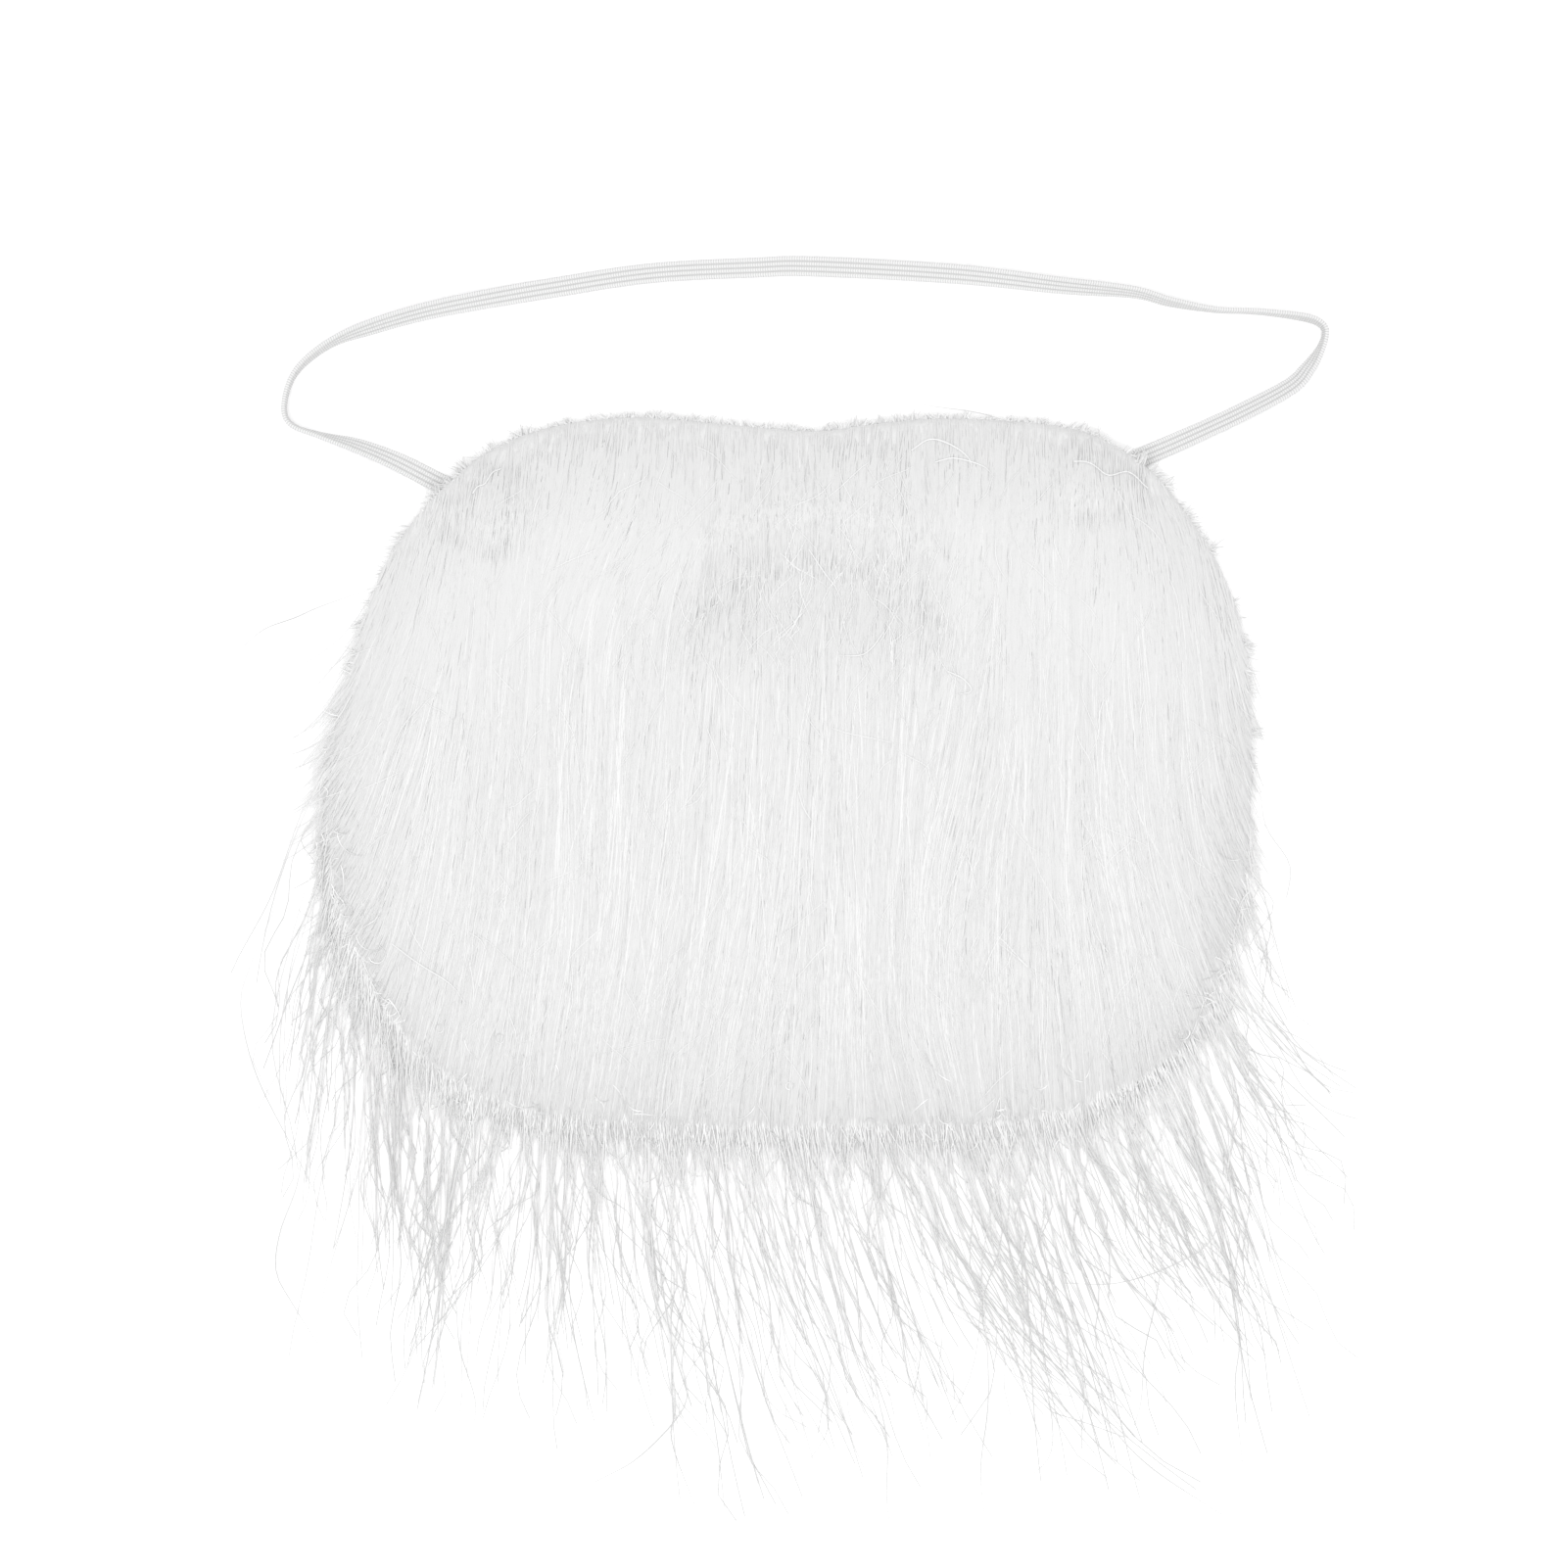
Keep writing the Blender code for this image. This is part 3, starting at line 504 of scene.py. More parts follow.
def walk(roots, lengths, stations, lean, wave):
    """Lines that follow the combing from their roots, each with its own lean and wave."""
    line = np.zeros((len(roots), stations, 2))
    line[:, 0] = roots
    step = lengths / (stations - 1)
    phase = chance.uniform(0, 2 * math.pi, len(roots))
    turns = chance.uniform(0.5, 1.6, len(roots))
    for i in range(1, stations):
        own = lean + wave * np.sin(phase + 2 * math.pi * turns * i / stations)
        angle = comb_angle(line[:, i - 1]) + own
        line[:, i] = line[:, i - 1] + heading_down(angle) * step[:, None]
    return line


def lay(line, over):
    """Adds heights to flat lines: over is each point's height above the fur."""
    height = crown(line)
    # Where the fur is rounded, the straight parts between the points would cut into it
    between = (height[:, 1:] + height[:, :-1]) / 2
    missing = np.clip(crown((line[:, 1:] + line[:, :-1]) / 2) - between, 0.0, MOST_BRIDGED)
    raised = np.zeros_like(height)
    raised[:, :-1] = missing
    raised[:, 1:] = np.maximum(raised[:, 1:], missing)
    height = np.maximum(height + raised + over, LOWEST_HAIR)
    return np.concatenate([line, height[..., None]], axis=2)


def has_room(lines):
    """Marks the hairs that stay within the room round the solids."""
    x, y = lines[..., 0], lines[..., 1]
    (left, low, _), (right, _, _) = cad_box
    return ((x > left - ROOM_SIDE) & (x < right + ROOM_SIDE) & (y > low - ROOM_BELOW)).all(axis=1)


def strands(name, lines, widths, tones):
    """One mesh of tapered strands, each a low ridge of two faces."""
    kept = has_room(lines)
    lines, widths, tones = lines[kept], widths[kept], tones[kept]
    count, stations, _ = lines.shape
    along = unit(np.gradient(lines, axis=1))
    side = unit(np.cross(along, (0.0, 0.0, 1.0)))
    face = np.cross(side, along)
    half = widths[..., None] / 2
    rings = [lines + side * half * a + face * half * b for a, b in STRAND_SECTION]
    points = np.stack(rings, axis=2).reshape(-1, 3)
    first = (np.arange(count)[:, None] * stations + np.arange(stations - 1)) * 3
    corners = first[..., None, None] + np.array([(0, 3, 4, 1), (1, 4, 5, 2)])
    quads = corners.reshape(-1, 4)

    mesh = bpy.data.meshes.new(name)
    mesh.vertices.add(len(points))
    mesh.vertices.foreach_set("co", points.ravel())
    mesh.loops.add(quads.size)
    mesh.loops.foreach_set("vertex_index", quads.ravel().astype(np.int32))
    mesh.polygons.add(len(quads))
    mesh.polygons.foreach_set("loop_start", np.arange(len(quads), dtype=np.int32) * 4)
    mesh.update(calc_edges=True)

    # Each strand's place in the map is its tone across and its length up
    bucket = np.clip((tones * TONES).astype(int), 0, TONES - 1)
    u_low = np.repeat(bucket, (stations - 1) * 2)
    v_low = np.tile(np.repeat(np.arange(stations - 1), 2), count)
    part = np.tile([0, 1], count * (stations - 1))
    u0, u1 = (u_low + 0.1 + 0.8 * part / 2) / TONES, (u_low + 0.1 + 0.8 * (part + 1) / 2) / TONES
    v0, v1 = v_low / (stations - 1), (v_low + 1) / (stations - 1)
    places = np.stack([u0, v0, u0, v1, u1, v1, u1, v0], axis=1)
    mesh.uv_layers.new(name=HAIR_UV).data.foreach_set("uv", places.ravel())
    mesh.shade_smooth()
    return mesh


def taper(widths, stations, root=0.8, tip=0.22):
    """Each strand's width along it: nearly even, with a thin tip."""
    share = np.linspace(0.0, 1.0, stations)
    from_root = root + (1 - root) * ease(share / 0.15)
    to_tip = 1.0 - (1 - tip) * ease((share - 0.55) / 0.45)
    return widths[:, None] * (from_root * to_tip)


def varied(width, least, most, count):
    """Random widths about the given one."""
    return width * chance.uniform(least, most, count)


def scatter(count, inset):
    """Even random places inside the pile's edge."""
    low, high = pile_edge.min(axis=0), pile_edge.max(axis=0)
    kept = np.zeros((0, 2))
    while len(kept) < count:
        spots = chance.uniform(low, high, (count, 2))
        kept = np.vstack([kept, spots[pile_depth.at(spots) > inset]])
    return kept[:count]


def share_until(is_past, roots, lengths):
    """The share of each hair's length at which its combed line is first past a limit."""
    past = is_past(walk(roots, lengths, 14, 0.0, 0.0))
    return np.where(past.any(axis=1), past.argmax(axis=1), 13) / 13


def within_reach(roots, lengths, over):
    """Cuts lengths so that the hair passes the pile's edge by no more than over."""
    kept = share_until(lambda line: pile_depth.at(line) < -over[:, None], roots, lengths)
    return np.maximum(lengths * kept, 5 * MM)


def stop_at_slit(roots, lengths):
    """Ends many of the hairs from above the mouth slit at its upper edge."""
    kept = share_until(lambda line: slit_depth.at(line) > 0.5 * MM, roots, lengths)
    from_above = slit_depth.at(roots) < 0
    cut = (chance.uniform(0, 1, len(roots)) < ENDS_AT_SLIT) & from_above
    return np.where(cut, np.maximum(lengths * kept, 4 * MM), lengths)


def body_layer(layer):
    """A layer of long hair combed down over the whole pile."""
    count = layer.strands
    roots = scatter(count, 0.3 * MM)
    lengths = BODY_HAIR_LENGTH * chance.uniform(0.55, 1.3, count)
    # The finer the hair, the further past the edge it ends
    fall = BODY_ENDS_FALL * HAIR_LAYERS[1].width / layer.width
    over = np.minimum(chance.exponential(fall, count), BODY_ENDS_FURTHEST) - BODY_ENDS_INSIDE
    at_side = ease((np.abs(roots[:, 0]) - SIDE_START) / SIDE_RUN)
    over = over - np.where(roots[:, 0] > 0, RIGHT_ENDS_INSIDE, LEFT_ENDS_INSIDE) * at_side
    lengths = within_reach(roots, lengths, over)
    unruly = np.where(chance.uniform(0, 1, count) < UNRULY_SHARE, UNRULY_LEAN, COMBED_LEAN)
    lean = np.radians(chance.normal(0, 1, count) * unruly)
    lengths = stop_at_slit(roots, lengths)
    wave = np.radians(chance.uniform(1, 5, count))
    line = walk(roots, lengths, BODY_STATIONS, lean, wave)
    share = np.linspace(0, 1, BODY_STATIONS)
    # Near the top edge the hair is short, and lies smoother
    loose = 0.25 + 0.75 * ease((CLOTH_HALF_HEIGHT - LOOSE_START - roots[:, 1]) / LOOSE_RUN)
    lift = chance.uniform(layer.low, layer.high, count) * MM * loose
    from_root = share * lengths[:, None]
    sink = ROOT_SINK * (1 - ease(from_root / (3 * MM)))
    rise = lift[:, None] * ease(from_root / (9 * MM)) - sink + HAIR_RELIEF * sway(line, fine=2.0)
    lines = lay(line, rise)
    widths = taper(varied(layer.width * MM, 0.7, 1.25, count), BODY_STATIONS)
    tones = layer.tone + layer.spread * chance.normal(0, 1, count) * loose
    # Besides their random tone, a share of the hairs, more in the upper layers, get the bright
    # tone: painted highlights
    tones = np.where(chance.uniform(0, 1, count) < layer.bright * loose, HIGHLIGHT_TONE, tones)
    # Hairs whose middle lies in the dip below the mouth's arch get a darker tone: painted shade,
    # besides the dip's own shading
    middle = line[:, BODY_STATIONS // 2]
    tones = np.clip(tones - MOUTH_PAINTED_SHADE * mouth_dent(middle) / MOUTH_DENT, 0.02, 0.98)
    return strands(layer.name, lines, widths, tones)


def top_hair(name):
    """Short smooth hair that covers the roots along the top edge and the upper sides."""
    count = TOP_STRANDS
    spots = scatter(4 * count, 0.2 * MM)
    spots = spots[spots[:, 1] > TOP_LOWEST]
    odds = np.exp(-pile_depth.at(spots) / TOP_BAND)
    roots = spots[chance.choice(len(spots), count, replace=False, p=odds / odds.sum())]
    lengths = chance.uniform(8, 24, count) * MM
    lengths = within_reach(roots, lengths, np.full(count, -0.6 * MM))
    lean = np.radians(chance.normal(0, 4, count))
    wave = np.radians(chance.uniform(0, 5, count))
    line = walk(roots, lengths, TOP_STATIONS, lean, wave)
    lines = lay(line, (chance.uniform(0.02, 0.08, count) * MM)[:, None])
    widths = taper(varied(0.42 * MM, 0.7, 1.25, count), TOP_STATIONS)
    return strands(name, lines, widths, np.clip(chance.normal(0.44, 0.06, count), 0.0, 1.0))


def crossing_hair(name):
    """Loose hairs that lie across the combed ones."""
    count = CROSSING_STRANDS
    roots = scatter(count, 5 * MM)
    by_mouth = chance.uniform(0, 1, count) < 0.3
    near = chance.normal(0, 1, (count, 2)) * (24 * MM, 14 * MM) + (MOUTH_TO_RIGHT, 44 * MM)
    roots = np.where(by_mouth[:, None], near, roots)
    lengths = chance.uniform(7, 22, count) * MM
    lean = np.radians(chance.normal(0, 26, count))
    line = walk(roots, lengths, 8, lean, np.radians(chance.uniform(5, 22, count)))
    lines = lay(line, np.full(line.shape[:2], 0.3 * MM))
    widths = taper(varied(0.22 * MM, 0.8, 1.2, count), 8, root=0.4)
    return strands(name, lines, widths, chance.uniform(0.7, 0.98, count))


def hem_arc():
    """The lower side of the pile's edge, from its leftmost point to its rightmost."""
    left, right = pile_edge[:, 0].argmin(), pile_edge[:, 0].argmax()
    count = (right - left) % len(pile_edge)
    return np.array([pile_edge[(left + i) % len(pile_edge)] for i in range(count + 1)])


hem = resample(hem_arc(), 400)


def hem_point(share):
    at = np.linspace(0.0, 1.0, len(hem))
    return np.stack([np.interp(share, at, hem[:, 0]), np.interp(share, at, hem[:, 1])], axis=-1)


def root_line(exits, back, stations):
    """The hidden part of a fringe hair, from back inside the fur to where it leaves the hem."""
    line = np.zeros((len(exits), stations, 2))
    line[:, -1] = exits
    step = back / (stations - 1)
    for i in range(stations - 2, -1, -1):
        line[:, i] = line[:, i + 1] - heading_down(comb_angle(line[:, i + 1])) * step[:, None]
    return line


def lock_drift(share):
    """Lean, drop and bow of the locks at a share of the hem, between the table's rows."""
    return [np.interp(share, LOCKS[:, 0], LOCKS[:, k]) for k in (1, 2, 3)]


def free_line(lean, drop, bow, share):
    """The free part of a fringe hair, from where it leaves the hem."""
    x = HAIR_REACH * (lean[:, None] * share + 4 * bow[:, None] * share * (1 - share))
    y = -HAIR_REACH * drop[:, None] * share
    return np.stack([x, y], axis=2)


def fringe_lines(hem_share, reach, stray, hold, wave):
    """Whole fringe hairs. Hold is how much of its way a hair closes up to the nearest lock."""
    count = len(hem_share)
    near = LOCKS[np.abs(hem_share[:, None] - LOCKS[None, :, 0]).argmin(axis=1)]
    own_lean, own_drop, own_bow = lock_drift(hem_share)
    lean = own_lean + (near[:, 1] - own_lean) * hold
    drop = own_drop + (near[:, 2] - own_drop) * hold
    bow = own_bow + (near[:, 3] - own_bow) * hold
    # A short hair follows the first part of the long one's way
    part = np.clip(reach / drop, 0.05, 1.15)
    lean = lean * part + 4 * bow * part * (1 - part) * 0.5 + stray
    bow = bow * part**2
    exits = hem_point(hem_share)
    share = np.linspace(0, 1, FRINGE_FREE_STATIONS)
    line = exits[:, None] + free_line(lean, drop * part, bow, share)
    to_lock = hem_point(near[:, 0]) - exits
    line = line + to_lock[:, None] * (hold * part)[:, None, None] * ease(share)[:, None]
    beside = turned_left(unit(np.gradient(line, axis=1)))
    phase = chance.uniform(0, 2 * math.pi, count)[:, None]
    turns = chance.uniform(0.4, 2.0, count)[:, None] * (0.4 + part[:, None])
    swing = wave[:, None] * share * np.sin(phase + 2 * math.pi * turns * share)
    back = root_line(exits, chance.uniform(6, 14, count) * MM, FRINGE_ROOT_STATIONS)
    return np.concatenate([back[:, :-1], line + beside * swing[..., None]], axis=1)


def fringe_heights(lines, lift=1.0):
    """Fringe hairs leave the pile at its edge's height and come down to lie on the table."""
    count, stations, _ = lines.shape
    root = FRINGE_ROOT_STATIONS
    share = np.concatenate([np.zeros(root - 1), np.linspace(0, 1, stations - root + 1)])
    spread = ease(share / 0.25) * (1 - 0.7 * share)
    own = 0.12 * MM + chance.uniform(0.0, lift, count)[:, None] * MM * spread
    ripple = 0.5 * MM * np.sin(chance.uniform(0, 6, count)[:, None] + share * 7)
    hidden = np.zeros(stations)
    hidden[:root] = 0.5 * MM * (1 - np.linspace(0, 1, root) ** 3)
    return lay(lines, own + ripple * share - hidden)


def kept_along_hem(share, odds):
    """Thins hairs out along the hem, by odds at given shares of it."""
    places, odds = zip(*odds.items())
    return share[chance.uniform(0, 1, len(share)) < np.interp(share, places, odds)]


def fringe_hair(name):
    """The long fringe: hairs side by side along the hem that close up towards the locks."""
    share = (np.arange(FRINGE_STRANDS) + chance.uniform(0, 1, FRINGE_STRANDS)) / FRINGE_STRANDS
    share = kept_along_hem(share, FRINGE_ODDS)
    count = len(share)
    reach = np.minimum(FRINGE_SHORT + chance.exponential(FRINGE_FALL, count), FRINGE_LONGEST)
    limit = 0.15 + 1.1 * lock_drift(share)[1]
    reach = np.where(reach > limit, limit * chance.uniform(0.5, 1.0, count), reach)
    hold = np.clip(chance.normal(0.24, 0.26, count), -0.1, 0.65)
    stray = chance.normal(0, 0.06, count) * (0.4 + reach)
    line = fringe_lines(share, reach, stray, hold, chance.gamma(1.5, 1.0, count) * MM)
    widths = taper(varied(FRINGE_HAIR_WIDTH, 0.8, 1.15, count), line.shape[1], tip=0.75)
    tones = np.clip(chance.normal(0.4, 0.22, count), 0.0, 1.0)
    return strands(name, fringe_heights(line), widths, tones)


def lone_hair(name):
    """Unruly single hairs that leave the hem at their own angles."""
    share = kept_along_hem(chance.uniform(0.0, 0.97, LONE_STRANDS), LONE_ODDS)
    count = len(share)
    reach = 0.2 + 0.75 * chance.beta(1.3, 1.3, count)
    stray = chance.normal(0, 0.18, count) * reach
    line = fringe_lines(share, reach, stray, np.zeros(count), chance.uniform(1.0, 5.0, count) * MM)
    widths = taper(varied(FRINGE_HAIR_WIDTH, 0.75, 1.0, count), line.shape[1], tip=0.75)
    return strands(name, fringe_heights(line, lift=2.0), widths, chance.uniform(0.0, 0.6, count))


def hem_curls(name):
    """Short curled hairs that tangle along the hem."""
    count = HEM_CURLS
    roots = hem_point(chance.uniform(0.03, 0.93, count))
    roots = roots + chance.normal(0, 1, (count, 2)) * (2 * MM, 6 * MM)
    heading = np.radians(chance.normal(0, 55, count))
    bend = chance.normal(0, 1, count)
    lengths = chance.uniform(4, 11, count) * MM
    stations = 10
    line = np.zeros((count, stations, 2))
    line[:, 0] = roots
    for i in range(1, stations):
        angle = heading + bend * 2.6 * (i / stations)
        line[:, i] = line[:, i - 1] + heading_down(angle) * (lengths / (stations - 1))[:, None]
    lines = lay(line, (0.15 * MM + 0.4 * MM * chance.uniform(0, 1, count))[:, None])
    widths = taper(varied(0.26 * MM, 0.8, 1.2, count), stations, root=0.5)
    return strands(name, lines, widths, chance.uniform(0.1, 0.9, count))


def edge_hair(name):
    """Short rough tufts that stand out of the cut edge along the top and the sides."""
    loop = resample(pile_edge, 900, closed=True)
    normal = outward(loop)
    top = ease((loop[:, 1] + 20 * MM) / (40 * MM)) * (1.0 - 0.55 * np.abs(normal[:, 0]))
    pick = np.repeat(chance.choice(len(loop), EDGE_TUFTS, p=top / top.sum()), TUFT_STRANDS)
    count = len(pick)

    def per_tuft(values):
        return np.repeat(values, TUFT_STRANDS)

    # At the sides the tufts follow the combing down
    side = np.abs(normal[pick, 0])
    down = np.stack([np.zeros(count), -np.ones(count)], axis=1)
    out = normal[pick] + down * (1.1 * side**2)[:, None]
    turn = per_tuft(chance.normal(0, 0.5, EDGE_TUFTS)) + chance.normal(0, 0.25, count)
    cos, sin = np.cos(turn), np.sin(turn)
    out = np.stack([out[:, 0] * cos - out[:, 1] * sin, out[:, 0] * sin + out[:, 1] * cos], axis=1)
    out = unit(out)
    beside = turned_left(out)
    width = chance.normal(0, 0.45, count) * MM
    length = per_tuft(TUFT_LENGTH * chance.beta(1.2, 1.6, EDGE_TUFTS) + 0.6 * MM)
    length = length * chance.uniform(0.7, 1.1, count) * (1 + 1.3 * side)
    roots = loop[pick] - normal[pick] * ((0.7 + 0.9 * side) * MM)[:, None] + beside * width[:, None]
    share = np.linspace(0, 1, 6)
    curl = per_tuft(chance.normal(0, 0.5, EDGE_TUFTS))[:, None] * share**2
    flat = roots[:, None] + out[:, None] * (length[:, None] * share)[..., None]
    bent = 0.4 * length[:, None] * curl - 0.6 * width[:, None] * share
    flat += beside[:, None] * bent[..., None]
    height = crown(flat[:, 0]) - 0.4 * MM - chance.uniform(0.0, 1.8, count) * MM
    height = height[:, None] + (chance.uniform(-0.5, 0.1, count) * length)[:, None] * share
    lines = np.concatenate([flat, np.maximum(height, 0.3 * MM)[..., None]], axis=2)
    widths = taper(varied(0.32 * MM, 0.7, 1.2, count), 6, root=1.0, tip=0.35)
    return strands(name, lines, widths, np.clip(chance.normal(0.35, 0.3, count), 0, 1))


def stray_hair(name, strays):
    """Single hairs on routes of their own."""
    lines, widths, tones = [], [], []
    for stray in strays:
        flat = spline(np.array(stray.route) * MM, 26)[None]
        lines.append(lay(flat, np.full(flat.shape[:2], 0.6 * MM)))
        widths.append(taper(np.array([stray.width * MM]), 26, root=0.9, tip=0.4))
        tones.append(stray.tone)
    return strands(name, np.vstack(lines), np.vstack(widths), np.array(tones))


# ---- Cloth, ground and elastic ----


def flat_sheet(edges, spots, holes):
    """A flat triangle mesh through every edge and spot, inside the first edge but not in a hole."""
    points, lines = [], []
    for edge in edges:
        ring = range(len(points), len(points) + len(edge))
        lines += list(zip(ring, [*ring[1:], ring[0]]))
        points += [tuple(spot) for spot in edge]
    points += [tuple(spot) for spot in spots]
    flat, _, faces, _, _, _ = delaunay_2d_cdt(points, lines, [], 0, 1e-7)
    flat = np.array([tuple(spot) for spot in flat])
    centres = np.array([flat[list(face)].mean(axis=0) for face in faces])
    keep = is_inside(centres, edges[0])
    for hole in holes:
        keep &= ~is_inside(centres, hole)
    sheet = bmesh.new()
    corners = [sheet.verts.new((x, y, 0.0)) for x, y in flat]
    for face, kept in zip(faces, keep):
        if kept:
            sheet.faces.new([corners[i] for i in face])
    bmesh.ops.delete(sheet, geom=[v for v in sheet.verts if not v.link_faces], context="VERTS")
    return sheet


def grid_over(edge, pitch):
    low, high = edge.min(axis=0), edge.max(axis=0)
    return np.meshgrid(np.arange(low[0], high[0], pitch), np.arange(low[1], high[1], pitch))


def grid_spots(edge, pitch, clear):
    """Staggered places inside the edge and outside the mouth slit, clear of both."""
    x, y = grid_over(edge, pitch)
    x = x + (np.arange(len(x))[:, None] % 2) * pitch / 2
    spots = np.stack([x.ravel(), y.ravel()], axis=1)
    return spots[(depth_inside(spots, edge) > clear) & (depth_inside(spots, mouth_edge) < -clear)]


def spots_in_slit(pitch):
    spots = np.stack([part.ravel() for part in grid_over(mouth_edge, pitch)], axis=1)
    return spots[depth_inside(spots, mouth_edge) > SLIT_CLEAR]


def set_heights(sheet, measure):
    spots = np.array([vertex.co[:2] for vertex in sheet.verts])
    for vertex, height in zip(sheet.verts, measure(spots)):
        vertex.co.z = height


def finished(sheet, name):
    mesh = bpy.data.meshes.new(name)
    sheet.to_mesh(mesh)
    sheet.free()
    mesh.shade_smooth()
    return mesh


def cloth_height(spots):
    """The backing's underside: flat, with a faint unevenness away from the table's contact."""
    uneven = 0.06 * MM * (1 + np.sin(190 * spots[:, 0] + 2) * np.sin(150 * spots[:, 1] + 1))
    return CLOTH_OFF_TABLE + uneven + tab_lift(spots)


def backing_cloth():
    """The knitted backing with its mouth slit."""
    spots = grid_spots(cloth_edge, CLOTH_GRID, 1.4 * MM)
    sheet = flat_sheet([cloth_edge, mouth_edge], spots, [mouth_edge])
    set_heights(sheet, cloth_height)
    return finished(sheet, "backing_cloth")


def pile_ground():
    """The mass of short underhair below the combed hair, down to the cloth and round the slit."""
    normal = outward(pile_edge)
    inset = pile_edge - normal * GROUND_INSET
    shoulder = pile_edge - normal * (GROUND_INSET + GROUND_SHOULDER)
    spots = np.vstack([grid_spots(shoulder, GROUND_GRID, 1.2 * MM), spots_in_slit(GROUND_GRID)])
    sheet = flat_sheet([inset, shoulder, mouth_edge], spots, [])

    def height(places):
        return crown(places) - GROUND_BELOW_HAIR + HAIR_RELIEF * sway(places, fine=2.0)

    set_heights(sheet, height)
    # The wall down to the table's edge, turned in under the pile. Along the hem it is a thin slope
    border = [edge for edge in sheet.edges if edge.is_boundary]
    for drop, turn_in, hem_turn_in, is_rim in GROUND_RINGS:
        grown = bmesh.ops.extrude_edge_only(sheet, edges=border)["geom"]
        ring = [part for part in grown if isinstance(part, bmesh.types.BMVert)]
        border = [part for part in grown if isinstance(part, bmesh.types.BMEdge)]
        spots = np.array([vertex.co[:2] for vertex in ring])
        nearest = np.linalg.norm(spots[:, None] - inset[None], axis=2).argmin(axis=1)
        out = outward(inset)[nearest]
        hem_side = towards_hem(spots) * (1.0 - ease(out[:, 0]))
        spots = spots - out * ((turn_in + (hem_turn_in - turn_in) * hem_side) * MM)[:, None]
        low = tab_lift(spots) * 1.15 + edge_height(spots) * drop
        if hem_turn_in < 0:
            slope = np.maximum(crown(spots) - GROUND_BELOW_HAIR, 0.2 * MM)
            low = low + (slope - low) * hem_side
        for vertex, spot, z in zip(ring, spots, low):
            vertex.co = (*spot, z)
        if is_rim:
            for edge in border:
                edge.smooth = False
    bmesh.ops.recalc_face_normals(sheet, faces=sheet.faces)
    return finished(sheet, "pile_ground")


def strap_section():
    """Ribbed outline of the band as (across, up) shares, with rounded ribs and thin edges."""
    across = np.linspace(-0.5, 0.5, 33)
    within = (across + 0.5) * STRAP_RIBS % 1.0
    rib = np.sqrt(np.clip(1 - (2 * within - 1) ** 2, 0, 1))
    rib[[0, -1]] = 0.0
    half = STRAP_CORE / 2 + STRAP_RIB * rib
    edge = ease((0.5 - np.abs(across)) / 0.03)
    half = half * (0.25 + 0.75 * edge)
    upper = np.column_stack([across * STRAP_WIDTH, half])
    lower = np.column_stack([across * STRAP_WIDTH, -half])
    return np.vstack([lower[:-1], upper[:0:-1]])


def elastic_band():
    """The braided elastic: flat under the cloth and along the top, and on edge at its bends."""
    line = spline(strap_line, STRAP_STATIONS)
    tilt = np.radians(np.clip(line[:, 2] / TILT_UNIT, 0.0, 90.0))
    tilt *= ease((-pile_depth.at(line[:, :2]) - STRAP_WIDTH / 2) / TURN_RUN)
    along = unit(np.gradient(line[:, :2], axis=0))
    section = strap_section()
    thick = section[:, 1].max()
    height = STRAP_OFF_TABLE + STRAP_WIDTH / 2 * np.sin(tilt) + thick * np.cos(tilt)
    centre = np.column_stack([line[:, :2], height])
    left = np.column_stack([turned_left(along), np.zeros(len(line))])
    flat, up = np.cos(tilt)[:, None], np.sin(tilt)[:, None]
    side = left * flat + np.array([0, 0, 1.0]) * up
    face = -left * up + np.array([0, 0, 1.0]) * flat
    rings = centre[:, None] + side[:, None] * section[:, :1] + face[:, None] * section[:, 1:]
    count = len(section)
    faces = []
    for i in range(len(line) - 1):
        for k in range(count):
            a, b = i * count + k, i * count + (k + 1) % count
            faces.append((a, a + count, b + count, b))
    last = (len(line) - 1) * count
    faces.append(tuple(range(count)))
    faces.append(tuple(last + k for k in reversed(range(count))))
    mesh = bpy.data.meshes.new("elastic_band")
    mesh.from_pydata(rings.reshape(-1, 3).tolist(), [], faces)

    # The map's first axis runs along the band in centimetres, and its second goes round it
    length = np.concatenate([[0], np.cumsum(np.linalg.norm(np.diff(line[:, :2], axis=0), axis=1))])
    layer = mesh.uv_layers.new(name=WEAVE_UV)
    for polygon in mesh.polygons:
        for corner in polygon.loop_indices:
            vertex = mesh.loops[corner].vertex_index
            i, k = divmod(vertex, count)
            turn = (section[k, 0] / STRAP_WIDTH + 0.5) * STRAP_RIBS
            layer.data[corner].uv = (length[i] * 100, turn)
    work = bmesh.new()
    work.from_mesh(mesh)
    bmesh.ops.recalc_face_normals(work, faces=work.faces)
    work.to_mesh(mesh)
    work.free()
    mesh.shade_smooth()
    return mesh


def tube_mesh(name, routes, width):
    """Thread runs as closed round tubes."""
    curve = bpy.data.curves.new(name, "CURVE")
    curve.dimensions = "3D"
    curve.bevel_depth = width / 2
    curve.bevel_resolution = 1
    curve.use_fill_caps = True
    for route in routes:
        run = curve.splines.new("POLY")
        run.points.add(len(route) - 1)
        for point, place in zip(run.points, route):
            point.co = (*place, 1.0)
    holder = bpy.data.objects.new(name, curve)
    bpy.context.scene.collection.objects.link(holder)
    graph = bpy.context.evaluated_depsgraph_get()
    mesh = bpy.data.meshes.new_from_object(holder.evaluated_get(graph))
    bpy.data.objects.remove(holder)
    mesh.name = name
    mesh.shade_smooth()
    return mesh


